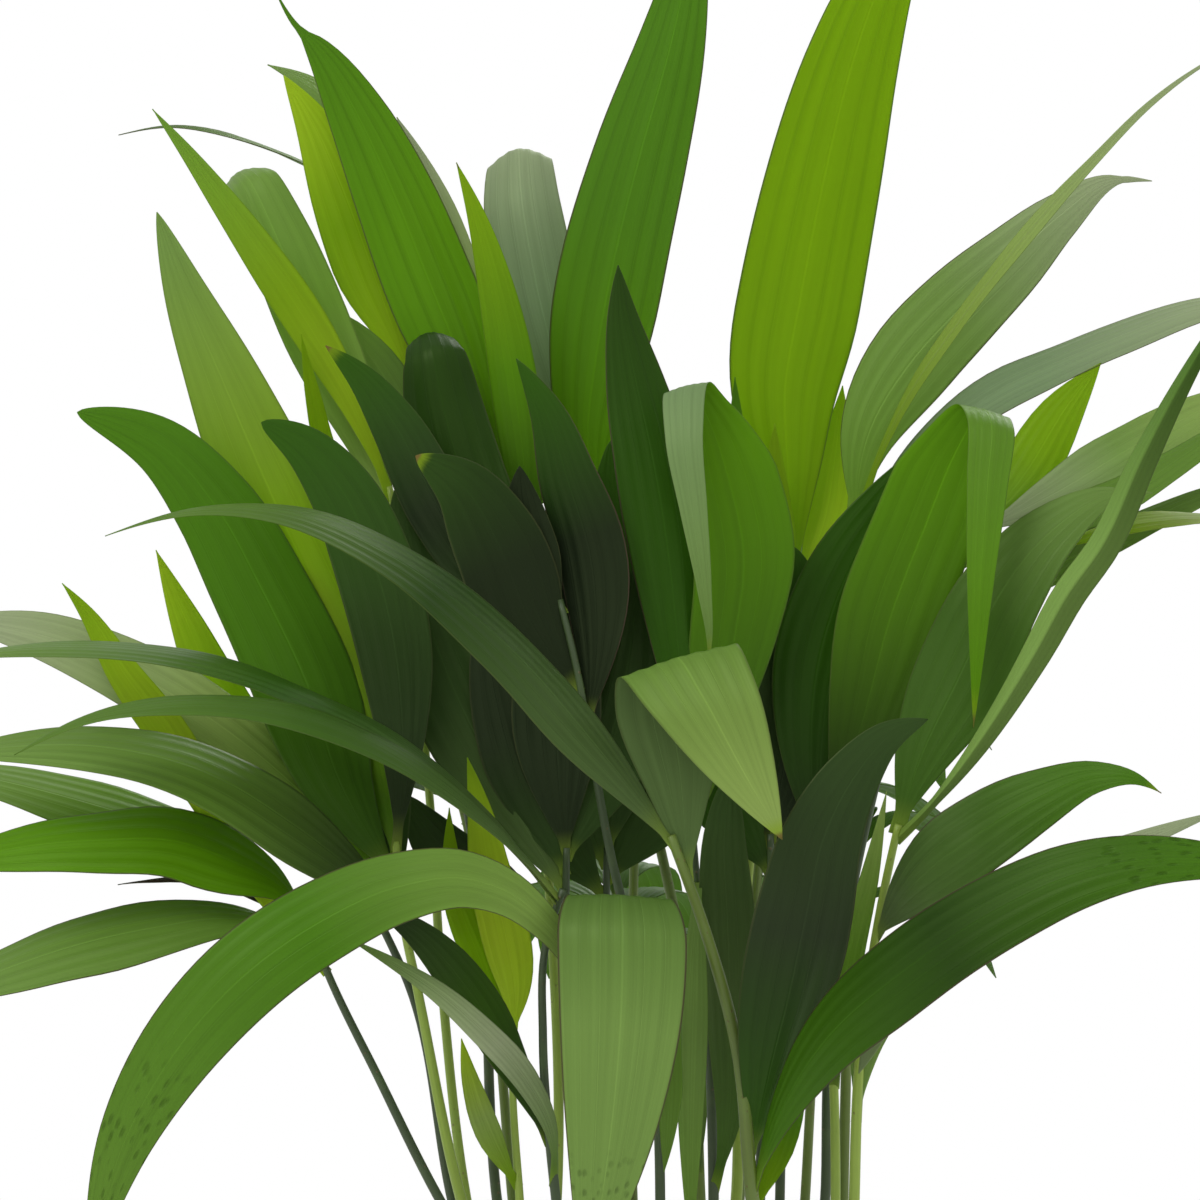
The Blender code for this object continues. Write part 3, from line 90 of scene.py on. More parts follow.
# Fronds laid out one by one.
# name, cane, slot on the cane, stalk colour, stalk radius, stalk route, leaflets
# A leaflet: point it starts near, points it passes, widest width, roll and twist in degrees,
# share of its length at the widest place, power of the taper towards the tip, fold, look, more.
# A look: colours of the face at foot, middle and tip, the same of the back after a slash, marks after a bar.
FRONDS = [
    ("frond_front_main", "cane_05", 2, "olive", 0.24, [
        (3.06, -5.0, 24.0), (2.55, -7.2, 28.8), (1.65, -8.6, 32.1), (0.6, -9.3, 35.0)], [
        ((0.7, -9.2, 34.6), [(-1.4, -10.2, 37.4), (-4.4, -10.8, 40.8), (-7.5, -10.9, 43.2),
          (-10.8, -10.6, 44.6), (-13.5, -10.2, 44.7), (-16.2, -9.8, 43.9)],
         2.6, 40, 35, 0.3, 1.0, 0.15, "slate bottle sage"),
        ((1.2, -9.0, 33.6), [(0.9, -9.3, 36.6), (0.6, -9.7, 39.4), (0.75, -10.5, 40.3),
          (1.5, -11.4, 39.2), (2.7, -11.8, 37.0), (3.9, -11.9, 34.9)],
         3.6, 0, 0, 0.5, 0.9, 0.06, "sage sage mist / slate slate slate | tip",
         {"hinge": (0.957, 0.0, 0.287)}),
        ((3.0, -5.4, 25.3), [(3.25, -6.2, 26.6), (3.6, -7.2, 28.2), (4.05, -8.2, 30.0),
          (4.7, -9.2, 33.0), (5.1, -9.4, 34.8), (6.06, -9.2, 36.75), (7.05, -8.9, 37.9),
          (8.25, -8.5, 38.45)],
         3.1, 25, -10, 0.45, 0.8, 0.12, "dark shade ivy"),
        ((3.06, -5.1, 24.3), [(4.0, -7.0, 27.0), (5.55, -9.2, 29.3), (7.2, -10.7, 30.75),
          (8.9, -11.4, 32.0), (10.6, -11.8, 33.0), (12.4, -12.05, 33.8), (14.7, -12.1, 34.3),
          (17.0, -12.0, 34.25), (19.6, -11.5, 33.6)],
         2.7, -45, -5, 0.42, 0.8, 0.12, "mid bottle mid | edge dimples"),
        ((3.06, -4.9, 23.8), [(3.8, -4.7, 25.6), (4.3, -4.5, 27.6), (4.5, -4.4, 29.5)],
         1.0, 0, 0, 0.4, 0.9, 0.1, "lime mid mid"),
    ]),
    ("frond_front_left", "cane_01", 2, "moss", 0.17, [
        (-2.8, -5.4, 24.0), (-3.2, -7.4, 29.0), (-3.1, -8.6, 31.8), (-2.6, -9.1, 33.4)], [
        ((-2.6, -9.1, 33.4), [(-4.1, -9.5, 34.7), (-7.05, -10.0, 37.1), (-9.75, -10.4, 38.45),
          (-11.6, -10.4, 38.85), (-14.4, -10.3, 38.9), (-17.2, -10.0, 38.3), (-18.9, -9.8, 37.4)],
         1.5, 62, 0, 0.45, 0.9, 0.15, "slate deep sage"),
        ((-2.8, -8.9, 33.0), [(-5.2, -8.2, 35.9), (-8.0, -8.0, 38.1), (-10.2, -7.9, 39.2),
          (-13.2, -7.8, 40.2), (-16.5, -7.7, 40.6), (-19.4, -7.6, 40.5), (-22.0, -7.6, 40.0)],
         2.15, 66, 0, 0.45, 0.9, 0.15, "slate dark pale"),
        ((-2.8, -5.6, 24.6), [(-3.0, -7.2, 26.4), (-3.9, -8.2, 28.0), (-5.1, -8.9, 29.3),
          (-6.5, -9.3, 30.5), (-7.8, -9.4, 31.3), (-9.0, -9.4, 31.95)],
         0.85, 40, 0, 0.45, 0.9, 0.1, "sage silver pale"),
        ((-2.9, -6.1, 25.8), [(-4.2, -7.2, 28.4), (-5.4, -7.8, 30.4), (-6.8, -8.1, 32.0),
          (-8.2, -8.2, 32.9)],
         1.5, 25, 0, 0.5, 0.7, 0.1, "ivy deep shade"),
    ]),
    ("frond_front_broad", "cane_04", 1, "olive", 0.18, [
        (-1.2, -5.0, 24.0), (-0.9, -7.2, 28.4), (-0.9, -8.2, 31.0)], [
        ((-0.9, -8.1, 30.7), [(-0.9, -8.8, 32.3), (-0.9, -9.8, 33.25), (-0.85, -10.8, 32.5),
          (-0.87, -11.3, 30.0), (-1.15, -11.5, 26.5), (-1.95, -11.1, 21.3)],
         3.85, 0, 0, 0.32, 0.9, 0.05, "deep pale pale / slate slate slate | edge dimples",
         {"hinge": (1.0, 0.0, -0.06)}),
        ((-1.0, -6.9, 27.6), [(-0.2, -7.6, 29.4), (0.2, -8.4, 30.2), (0.5, -9.2, 28.4), (0.4, -9.4, 25.0)],
         1.4, 0, 30, 0.45, 0.9, 0.1, "deep sage sage"),
        ((-1.0, -7.4, 29.0), [(-1.9, -8.8, 30.6), (-3.0, -9.9, 32.3), (-4.2, -10.5, 33.3),
          (-5.6, -10.9, 33.75), (-7.5, -11.1, 33.5), (-9.75, -11.6, 32.5), (-11.8, -12.0, 31.1),
          (-13.8, -12.0, 29.0), (-15.4, -11.8, 26.4), (-16.7, -11.2, 22.0)],
         2.6, 36, -13, 0.58, 0.8, 0.12, "mist mid sage / sage sage sage | edge dimples"),
    ]),
    ("frond_low_left", "cane_01", 1, "moss", 0.17, [
        (-4.0, -3.0, 20.4), (-6.25, -3.4, 24.0), (-8.1, -4.3, 27.7), (-9.68, -5.4, 31.0),
        (-10.35, -5.9, 32.8)], [
        ((-10.3, -5.8, 32.5), [(-11.2, -6.3, 33.6), (-12.4, -6.6, 34.2), (-14.1, -6.8, 34.8),
          (-16.5, -6.9, 34.85), (-19.5, -6.8, 34.5), (-21.6, -6.6, 33.9)],
         2.6, 42, 5, 0.34, 0.75, 0.12, "bright bright bright | edge"),
        ((-10.1, -5.6, 31.8), [(-12.3, -6.2, 32.5), (-15.0, -6.5, 32.2), (-17.0, -6.5, 31.75),
          (-19.5, -6.3, 30.9), (-22.2, -6.1, 29.7)],
         2.4, 45, 0, 0.5, 0.7, 0.12, "sage sage pale | edge"),
        ((-10.2, -5.7, 32.2), [(-12.0, -4.9, 33.3), (-14.0, -4.7, 33.7), (-15.9, -4.6, 33.5)],
         0.6, 60, 0, 0.4, 1.0, 0.2, "shade plum plum"),
        ((-10.4, -5.9, 32.7), [(-11.2, -5.4, 33.7), (-12.2, -5.0, 34.3), (-13.7, -4.7, 35.0),
          (-15.9, -4.5, 35.7), (-19.3, -4.4, 36.6), (-22.0, -4.3, 37.1)],
         2.4, 40, 0, 0.5, 0.6, 0.12, "fresh fresh pale"),
        ((-9.64, -5.35, 30.9), [(-11.5, -5.5, 33.2), (-12.9, -5.7, 35.6), (-14.4, -5.7, 38.05),
          (-15.7, -5.6, 39.8), (-16.85, -5.5, 41.65), (-17.55, -5.4, 42.5)],
         1.25, 0, 0, 0.6, 0.9, 0.1, "lemon lemon gold"),
    ]),
    ("frond_left_high", "cane_02", 2, "leek", 0.19, [
        (-5.64, -2.2, 24.0), (-6.96, -4.2, 30.4), (-7.4, -5.0, 32.6), (-7.6, -5.2, 34.8)], [
        ((-7.4, -5.0, 32.7), [(-8.8, -6.8, 33.9), (-10.6, -7.5, 35.3), (-13.5, -7.7, 37.0),
          (-16.5, -7.5, 37.65), (-19.5, -7.3, 37.6), (-21.3, -7.0, 37.4)],
         2.8, 47, 0, 0.36, 0.8, 0.12, "shade sage pale"),
        ((-7.5, -5.1, 33.6), [(-9.2, -5.3, 36.4), (-10.3, -5.0, 39.6), (-11.65, -4.8, 42.4),
          (-12.95, -4.9, 44.75), (-14.6, -5.2, 46.6), (-17.1, -5.6, 47.6)],
         3.3, 15, 5, 0.38, 0.62, 0.1, "deep mid mid"),
        ((-7.5, -5.1, 34.0), [(-8.0, -4.7, 36.8), (-8.8, -4.3, 39.8), (-10.1, -4.0, 42.5),
          (-11.6, -3.7, 45.8), (-12.8, -3.5, 48.6), (-13.95, -3.4, 51.3), (-14.75, -3.4, 53.6)],
         3.3, -12, 0, 0.4, 0.78, 0.1, "mid gold pale"),
        ((-7.6, -5.2, 34.6), [(-7.4, -6.0, 38.0), (-7.7, -6.1, 41.0), (-8.3, -6.1, 43.3),
          (-9.15, -6.1, 45.2), (-10.35, -6.1, 46.6), (-11.6, -6.1, 47.3)],
         2.5, 15, 0, 0.55, 0.6, 0.1, "shade ivy dark"),
        ((-7.45, -5.0, 33.1), [(-8.4, -4.2, 36.4), (-9.5, -4.0, 40.0), (-10.4, -3.8, 43.0)],
         2.8, 0, 0, 0.45, 0.7, 0.1, "ivy ivy ivy"),
        ((-7.3, -4.9, 32.2), [(-8.9, -4.9, 34.6), (-10.8, -5.0, 36.6), (-13.5, -4.8, 38.7),
          (-16.0, -4.3, 40.1), (-18.0, -4.2, 40.9), (-20.6, -4.2, 41.4)],
         2.2, 20, 0, 0.6, 0.6, 0.1, "bright mist silver"),
    ]),
    ("frond_left_lime", "cane_02", 1, "moss", 0.16, [
        (-5.94, -0.9, 24.0), (-7.2, -2.0, 30.4), (-8.5, -2.7, 33.2), (-9.3, -2.9, 34.8),
        (-10.2, -3.0, 36.4)], [
        ((-9.6, -2.9, 35.3), [(-11.6, -2.0, 37.2), (-12.9, -1.7, 39.2), (-14.0, -1.6, 41.6),
          (-14.8, -1.7, 43.5)],
         1.6, 8, 0, 0.42, 0.95, 0.1, "gold gold lemon"),
        ((-8.9, -2.8, 34.0), [(-9.9, -3.4, 35.9), (-10.9, -3.7, 37.4), (-12.0, -3.8, 38.7)],
         1.4, 8, 0, 0.42, 0.9, 0.1, "mid lime fresh"),
    ]),
    ("frond_upper_left", "cane_02", 0, "leek", 0.16, [
        (-5.5, 0.2, 24.0), (-6.2, -0.5, 30.0), (-6.6, -1.1, 36.0), (-7.1, -1.7, 41.0), (-7.8, -2.2, 45.4)], [
        ((-7.7, -2.2, 45.2), [(-9.15, -2.2, 48.4), (-10.65, -2.2, 50.9), (-12.1, -2.2, 53.0),
          (-13.7, -2.2, 55.2), (-14.9, -2.2, 56.7)],
         1.3, 15, 0, 0.45, 0.95, 0.1, "lemon gold fresh"),
        ((-7.5, -2.0, 43.9), [(-8.5, -1.2, 46.8), (-9.95, -0.7, 50.0), (-11.2, -0.5, 52.9),
          (-12.1, 0.1, 54.7), (-12.45, 1.2, 54.8), (-12.4, 2.2, 53.6)],
         2.2, 0, 0, 0.5, 0.6, 0.12, "mist fresh pale", {"hinge": (-0.84, 0.0, -0.54), "dome": 0.35}),
        ((-7.3, -1.9, 42.4), [(-8.5, -2.7, 44.2), (-9.6, -3.0, 46.2), (-10.1, -3.0, 48.2),
          (-10.44, -3.0, 49.95)],
         0.65, 0, 0, 0.55, 0.9, 0.1, "lime lime lime"),
    ]),
    ("frond_top_left", "cane_09", 1, "moss", 0.17, [
        (-4.6, 1.6, 24.0), (-5.1, 1.4, 33.0), (-6.0, 1.1, 39.0), (-6.6, 0.9, 43.2), (-7.1, 0.9, 46.6),
        (-7.2, 1.0, 49.2)], [
        ((-7.2, 1.0, 49.0), [(-8.2, 0.9, 51.5), (-9.1, 0.8, 54.0), (-10.1, 0.8, 56.3),
          (-11.0, 0.8, 57.75)],
         2.3, 5, 0, 0.4, 0.85, 0.08, "lemon gold lemon"),
        ((-7.2, 1.0, 48.6), [(-7.5, 2.0, 52.4), (-8.6, 2.4, 55.6), (-9.9, 2.5, 57.3), (-11.5, 2.5, 58.1)],
         2.0, 25, 20, 0.45, 0.9, 0.1, "pale pale pale"),
        ((-6.9, 0.9, 45.0), [(-7.6, 0.5, 48.0), (-8.7, 0.3, 49.7), (-10.0, 0.2, 50.9)],
         1.6, 20, 0, 0.45, 0.9, 0.1, "pale pale fresh"),
        ((-7.2, 1.0, 48.2), [(-7.9, 3.4, 52.4), (-9.4, 3.7, 54.6), (-11.6, 3.7, 55.7),
          (-14.4, 3.7, 56.3), (-16.0, 3.7, 56.0)],
         1.1, 72, 0, 0.5, 0.8, 0.15, "slate sage slate | edge"),
    ]),
    ("frond_top_centre_left", "cane_03", 0, "leek", 0.17, [
        (-2.8, -0.3, 24.0), (-3.0, -0.7, 33.0), (-3.5, -0.9, 39.0), (-3.9, -1.0, 43.2),
        (-4.3, -1.0, 46.0)], [
        ((-4.3, -1.0, 45.9), [(-5.55, -0.9, 48.9), (-6.65, -0.7, 51.6), (-7.65, -0.6, 54.1),
          (-8.75, -0.6, 56.5), (-9.95, -0.6, 58.5), (-10.75, -0.5, 59.4), (-11.25, -0.4, 60.3)],
         2.75, 5, 0, 0.4, 0.62, 0.1, "bright bright mid | edge bands", {"tail": 0.09}),
        ((-4.1, -1.0, 44.6), [(-4.9, 0.0, 48.2), (-5.6, 0.5, 51.4), (-6.5, 0.7, 54.2), (-7.6, 0.8, 56.5)],
         1.7, 25, 0, 0.45, 0.9, 0.1, "mist mist silver"),
        ((-3.8, -1.0, 42.6), [(-3.7, -1.9, 44.8), (-4.0, -2.2, 48.0), (-4.6, -2.2, 51.3),
          (-5.2, -2.2, 53.5), (-5.8, -2.1, 55.1)],
         1.45, 5, 0, 0.42, 0.9, 0.1, "deep bright gold | tip"),
    ]),
    ("frond_top_centre", "cane_06", 1, "olive", 0.19, [
        (1.5, 0.5, 24.0), (1.2, 0.6, 30.0), (0.0, 0.6, 36.0), (-0.9, 0.5, 40.5), (-1.35, 0.4, 44.2)], [
        ((-1.35, 0.4, 44.0), [(-1.86, 0.3, 46.9), (-1.62, 0.2, 49.3), (-1.14, 0.1, 52.0),
          (-0.3, 0.0, 55.4), (0.6, 0.0, 58.6), (1.55, 0.2, 63.2)],
         3.25, -12, 0, 0.38, 0.75, 0.1, "bright mid mid | edge bands"),
        ((-1.3, 0.4, 43.2), [(-2.4, 1.4, 47.6), (-3.4, 2.1, 51.4), (-3.9, 2.6, 54.4), (-3.95, 3.5, 55.6),
          (-3.9, 4.6, 55.0), (-3.7, 5.5, 53.6)],
         2.5, 0, 0, 0.55, 0.55, 0.12, "slate haze silver", {"hinge": (-1.0, 0.0, -0.1), "dome": 0.35}),
        ((1.4, 0.5, 24.6), [(1.35, -0.5, 27.0), (1.3, -0.7, 30.0), (1.45, -0.6, 32.6)],
         0.9, 0, 0, 0.45, 0.8, 0.1, "slate sage slate"),
    ]),
    ("frond_centre_folded", "cane_06", 2, "moss", 0.18, [
        (1.9, -2.4, 24.0), (1.7, -3.6, 30.0), (1.3, -4.3, 34.5), (1.1, -4.6, 36.8)], [
        ((1.1, -4.6, 36.6), [(0.95, -4.8, 39.0), (0.75, -4.9, 41.5), (0.45, -4.9, 44.0),
          (0.05, -4.8, 46.3), (-0.45, -4.6, 48.6), (-0.8, -4.5, 50.4), (-0.96, -4.4, 52.0)],
         2.4, 12, 0, 0.55, 0.85, 0.15, "dark dark bottle | edge"),
        ((1.3, -4.4, 35.0), [(1.95, -4.5, 37.8), (2.5, -4.7, 40.8), (2.8, -5.0, 43.2),
          (2.35, -5.3, 45.6), (1.65, -5.6, 47.6), (1.1, -6.3, 48.4), (1.0, -7.2, 47.0),
          (1.3, -7.4, 44.6), (1.6, -7.3, 42.4), (1.75, -7.0, 40.4), (1.68, -6.8, 39.9)],
         3.1, 0, 0, 0.35, 1.0, 0.08, "pale haze pale / deep bright bright | tip",
         {"hinge": (0.973, 0.0, 0.23), "narrow": (0.58, 0.55)}),
        ((1.4, -4.2, 33.6), [(1.4, -5.2, 33.2), (1.3, -5.8, 30.5), (1.2, -5.7, 26.5), (1.2, -5.6, 22.5)],
         0.9, 0, 0, 0.45, 0.9, 0.1, "pale pale sage"),
        ((1.9, -2.5, 24.3), [(2.35, -3.9, 26.5), (2.4, -4.4, 29.5), (2.3, -4.7, 32.4), (2.2, -5.3, 35.0),
          (2.4, -5.7, 36.8)],
         1.7, 0, 0, 0.6, 0.5, 0.1, "deep slate ivy"),
    ]),
    # The dark fronds fill the plant's inside; their night, shade, bottle and ivy looks are painted shade
    ("frond_dark_centre", "cane_04", 2, "moss", 0.17, [
        (0.3, -4.2, 24.0), (-0.1, -5.2, 30.0), (-1.2, -5.9, 34.5), (-1.8, -6.1, 37.8),
        (-2.25, -6.1, 40.2), (-2.7, -5.9, 42.0)], [
        ((-2.2, -6.1, 39.3), [(-3.6, -6.4, 41.4), (-4.5, -6.5, 43.6), (-5.6, -6.4, 45.4),
          (-7.0, -6.2, 46.3)],
         2.9, 12, 0, 0.45, 0.7, 0.1, "night night bottle | tip"),
        ((-2.7, -5.9, 41.8), [(-3.5, -5.7, 43.4), (-3.9, -5.6, 46.0)],
         1.6, 0, 0, 0.45, 0.8, 0.1, "night night night"),
        ((-1.9, -6.1, 38.2), [(-1.6, -5.9, 41.0), (-1.8, -5.7, 43.4), (-2.5, -5.6, 45.7),
          (-3.1, -5.5, 47.6), (-4.0, -5.4, 49.2)],
         2.2, -20, 0, 0.45, 0.85, 0.12, "night night dark | edge"),
        ((-2.4, -6.0, 40.8), [(-4.6, -4.9, 42.2), (-6.3, -4.5, 44.7), (-7.6, -4.3, 47.2),
          (-8.6, -4.2, 48.6), (-9.7, -4.2, 49.6)],
         1.9, 10, 0, 0.5, 0.8, 0.1, "bottle shade dark | tip"),
        ((-2.6, -5.9, 41.6), [(-4.2, -4.2, 43.0), (-5.5, -3.6, 45.4), (-6.2, -3.4, 47.8),
          (-6.55, -3.2, 49.6), (-6.7, -2.5, 50.0), (-6.7, -1.9, 49.3)],
         2.6, 0, 0, 0.5, 0.5, 0.12, "bottle bottle bottle", {"hinge": (-0.95, 0.0, -0.25), "dome": 0.35}),
    ]),
    ("frond_top_right", "cane_10", 2, "leek", 0.19, [
        (2.6, 1.8, 24.0), (2.7, 2.0, 30.0), (3.2, 2.1, 36.0), (3.9, 2.0, 40.2), (4.5, 2.0, 43.0)], [
        ((4.45, 2.0, 42.8), [(4.15, 1.9, 45.9), (4.05, 1.7, 48.3), (4.5, 1.6, 51.0), (5.15, 1.6, 54.3),
          (6.1, 1.6, 58.2), (6.7, 1.6, 60.0), (8.4, 1.8, 63.5)],
         3.75, 5, 0, 0.38, 0.6, 0.08, "gold lime lime | edge bands"),
        ((4.4, 2.0, 42.4), [(5.2, 2.7, 44.2), (5.6, 2.9, 46.5), (5.8, 3.0, 48.45)],
         1.2, 0, 0, 0.45, 0.9, 0.1, "lemon lemon lemon"),
        ((3.7, 2.0, 39.4), [(3.0, 1.2, 43.0), (2.65, 0.8, 46.4), (2.55, 0.7, 48.7)],
         1.0, 0, 0, 0.45, 0.9, 0.1, "mid mid mid"),
        ((3.9, 2.0, 40.3), [(3.9, 1.0, 43.0), (3.75, 0.6, 45.4), (3.75, 0.5, 47.3)],
         1.1, 0, 0, 0.45, 0.9, 0.1, "gold gold gold"),
    ]),
    ("frond_upper_right", "cane_07", 0, "olive", 0.18, [
        (5.8, 0.9, 24.0), (5.9, 0.9, 28.5), (6.0, 0.9, 34.5), (6.0, 0.9, 40.5), (6.15, 0.9, 44.6)], [
        ((6.15, 0.9, 44.4), [(6.6, 1.1, 47.1), (7.95, 1.4, 49.3), (9.35, 1.6, 50.8), (10.8, 1.8, 52.15),
          (12.3, 2.0, 53.55), (13.9, 2.2, 54.6), (15.1, 2.4, 54.6)],
         2.7, 5, -10, 0.42, 0.8, 0.1, "fresh pale silver | edge", {"tail": 0.05}),
        ((6.1, 0.9, 43.9), [(6.9, 0.2, 46.4), (7.9, -0.2, 48.4), (9.0, -0.3, 50.0), (10.5, -0.4, 52.0),
          (12.0, -0.4, 53.8), (13.2, -0.4, 55.1), (15.0, -0.4, 56.9), (16.5, -0.4, 58.0),
          (19.2, -0.4, 59.2)],
         0.6, -45, 0, 0.3, 1.1, 0.1, "gold mist silver | rib"),
        ((6.05, 0.9, 42.8), [(7.2, 0.3, 45.4), (8.85, -0.4, 47.2), (10.5, -0.7, 48.35),
          (12.0, -0.9, 49.05), (13.8, -1.0, 49.8), (16.5, -1.0, 50.75), (19.8, -1.0, 51.0)],
         1.9, -58, 0, 0.45, 0.85, 0.12, "haze haze silver | edge"),
    ]),
    ("frond_right_folded", "cane_07", 1, "leek", 0.17, [
        (5.55, -2.0, 24.0), (5.46, -2.8, 28.5), (5.25, -3.6, 32.5), (5.2, -3.9, 35.0)], [
        ((5.2, -3.9, 34.6), [(5.9, -4.3, 36.8), (6.5, -4.5, 39.0), (7.2, -4.6, 41.6), (8.2, -4.7, 44.2),
          (9.2, -5.0, 46.6), (9.9, -5.6, 47.7), (10.15, -6.5, 47.3), (10.05, -7.0, 45.6),
          (9.85, -7.1, 42.9), (9.7, -6.9, 39.8), (9.63, -6.8, 38.2)],
         3.2, 0, 0, 0.33, 0.9, 0.08, "sage sage bright / night bright bright | tip",
         {"hinge": (0.97, 0.0, -0.243), "narrow": (0.58, 0.58)}),
        ((5.2, -3.8, 34.0), [(4.8, -3.4, 37.2), (5.1, -3.3, 40.5), (5.95, -3.3, 42.9),
          (7.15, -3.3, 44.9), (8.6, -3.3, 46.9)],
         2.7, 8, 0, 0.5, 0.85, 0.12, "night dark dark"),
        ((5.5, -2.6, 27.4), [(5.7, -4.4, 29.2), (6.0, -5.3, 31.4), (6.6, -5.6, 34.0), (7.05, -5.6, 36.3)],
         0.8, 0, 0, 0.45, 0.9, 0.1, "deep fresh mist"),
    ]),
    ("frond_right_fan", "cane_07", 2, "leek", 0.19, [
        (6.1, -3.2, 24.0), (6.3, -4.7, 28.8), (6.7, -5.6, 31.8), (7.15, -6.0, 34.2), (7.4, -6.2, 35.3)], [
        ((7.4, -6.2, 35.2), [(8.1, -6.0, 37.4), (9.15, -5.9, 39.6), (10.5, -5.8, 42.3),
          (12.0, -5.6, 44.1), (13.6, -5.4, 45.1), (15.0, -5.2, 45.2)],
         2.9, -12, 0, 0.42, 0.8, 0.1, "deep deep pale", {"tail": 0.05}),
        ((7.3, -6.1, 34.8), [(8.35, -7.0, 35.9), (9.45, -7.5, 37.3), (10.35, -7.8, 38.65),
          (11.4, -7.9, 40.4), (12.4, -8.0, 42.2), (13.4, -8.0, 43.6), (14.6, -8.0, 46.2),
          (15.7, -8.0, 48.3), (18.0, -8.0, 52.0)],
         1.05, -15, 0, 0.45, 0.9, 0.5, "pale pale dark | split"),
        ((6.7, -5.6, 31.9), [(7.9, -7.2, 33.6), (9.75, -8.2, 35.05), (11.5, -8.5, 36.1),
          (13.2, -8.5, 36.75), (14.4, -8.5, 36.7), (15.2, -8.4, 36.25)],
         2.5, -32, 0, 0.38, 1.15, 0.1, "slate deep mid | tip edge sheen"),
        ((6.2, -4.6, 28.4), [(8.1, -7.6, 30.8), (10.0, -8.7, 32.4), (12.6, -9.2, 34.0),
          (17.0, -9.3, 35.75)],
         1.3, -35, 0, 0.4, 0.9, 0.1, "silver silver silver"),
        ((6.15, -3.9, 26.4), [(6.6, -5.0, 29.2), (7.3, -6.1, 30.5), (7.15, -7.1, 30.3),
          (6.7, -7.4, 29.1), (6.2, -7.4, 27.9)],
         1.3, 0, 0, 0.5, 0.8, 0.1, "pale pale silver"),
    ]),
    ("frond_right_far", "cane_08", 2, "moss", 0.17, [
        (5.25, -0.6, 24.0), (5.35, -1.0, 28.2), (6.3, -1.5, 34.5), (7.5, -1.9, 39.0), (9.0, -2.1, 42.6),
        (10.0, -2.1, 44.4)], [
        ((9.9, -2.1, 44.2), [(11.3, -1.7, 45.9), (12.4, -1.6, 47.7), (13.5, -1.6, 49.1)],
         1.7, 0, 0, 0.45, 0.9, 0.1, "fresh gold gold"),
        ((9.8, -2.1, 44.0), [(12.3, -2.6, 45.3), (14.1, -2.8, 46.4), (15.6, -2.8, 47.25),
          (18.6, -2.7, 48.6)],
         2.0, -30, 0, 0.45, 0.9, 0.12, "silver pale mist"),
        ((9.2, -2.1, 43.0), [(12.0, -3.6, 44.3), (14.5, -4.0, 45.4), (16.5, -4.0, 46.7),
          (18.8, -3.9, 48.2)],
         1.5, -40, 0, 0.45, 0.9, 0.12, "sage sage sage"),
        ((8.8, -2.0, 42.2), [(11.0, -2.6, 43.4), (13.35, -2.9, 44.15), (16.5, -2.9, 44.5),
          (19.2, -2.8, 44.1)],
         1.2, -65, 0, 0.45, 0.9, 0.12, "lemon lemon silver"),
        ((8.2, -2.0, 40.8), [(10.9, -1.6, 42.4), (13.9, -1.5, 43.9), (16.5, -1.5, 45.1),
          (18.3, -1.5, 45.7)],
         1.2, -30, 0, 0.45, 0.9, 0.12, "pale pale pale"),
    ]),
    ("frond_low_lime", "cane_03", 2, "leek", 0.16, [
        (-3.9, -2.6, 24.0), (-4.1, -3.1, 27.0), (-4.14, -3.6, 29.2)], [
        ((-4.14, -3.6, 29.0), [(-4.05, -4.6, 30.3), (-4.35, -5.3, 32.1), (-4.8, -5.5, 33.9),
          (-5.16, -5.4, 36.0), (-5.46, -5.2, 37.3)],
         1.5, 0, 0, 0.4, 0.9, 0.1, "lemon lemon gold"),
        ((-4.1, -3.3, 28.0), [(-5.0, -4.4, 31.0), (-5.8, -4.9, 33.2), (-6.0, -4.9, 35.8)],
         1.0, 0, 0, 0.45, 0.9, 0.1, "lime lime lime"),
        ((-3.9, -2.7, 24.4), [(-4.8, -3.6, 26.0), (-5.3, -4.0, 27.4), (-5.64, -4.1, 28.9)],
         0.8, 0, 0, 0.45, 0.9, 0.1, "gold mist lemon"),
    ]),
    # More dark fronds for the inside of the plant, coloured dark as painted shade
    ("frond_dark_left", "cane_11", 1, "moss", 0.17, [
        (-1.9, -2.4, 24.0), (-2.3, -3.4, 30.0), (-2.5, -3.8, 32.4), (-2.5, -4.1, 34.6)], [
        ((-2.5, -3.9, 33.2), [(-4.5, -4.2, 36.6), (-5.9, -4.1, 39.4), (-6.8, -3.9, 42.0),
          (-7.5, -3.5, 45.6)],
         2.9, 0, 0, 0.45, 0.7, 0.1, "slate ivy ivy"),
        ((-2.5, -4.0, 33.8), [(-3.6, -4.4, 37.4), (-4.4, -4.4, 40.3), (-4.8, -4.2, 42.3)],
         2.9, 0, 0, 0.45, 0.7, 0.1, "ivy shade shade"),
        ((-2.5, -4.1, 34.5), [(-2.8, -4.7, 38.0), (-2.7, -4.6, 41.4), (-2.6, -4.2, 44.0)],
         2.7, 0, 0, 0.45, 0.8, 0.1, "shade shade shade"),
        ((-2.5, -4.05, 34.2), [(-1.3, -4.0, 37.4), (-0.6, -3.6, 40.4), (-0.4, -3.3, 43.0)],
         2.7, 0, 0, 0.45, 0.7, 0.1, "ivy ivy ivy"),
        ((-2.4, -3.8, 32.4), [(-4.3, -3.7, 33.2), (-5.9, -3.5, 34.3), (-7.4, -3.2, 36.2)],
         1.9, 15, 0, 0.5, 0.7, 0.1, "shade shade ivy"),
    ]),
    ("frond_dark_mid", "cane_11", 2, "moss", 0.17, [
        (-0.9, -0.6, 24.0), (-1.2, -1.5, 30.0), (-1.3, -1.8, 32.4), (-1.3, -2.2, 34.6)], [
        ((-1.3, -1.9, 33.0), [(-3.4, -2.9, 35.8), (-5.0, -3.1, 38.0), (-5.8, -3.0, 40.6),
          (-6.0, -2.8, 42.6)],
         3.2, 0, 0, 0.45, 0.7, 0.1, "ivy ivy ivy"),
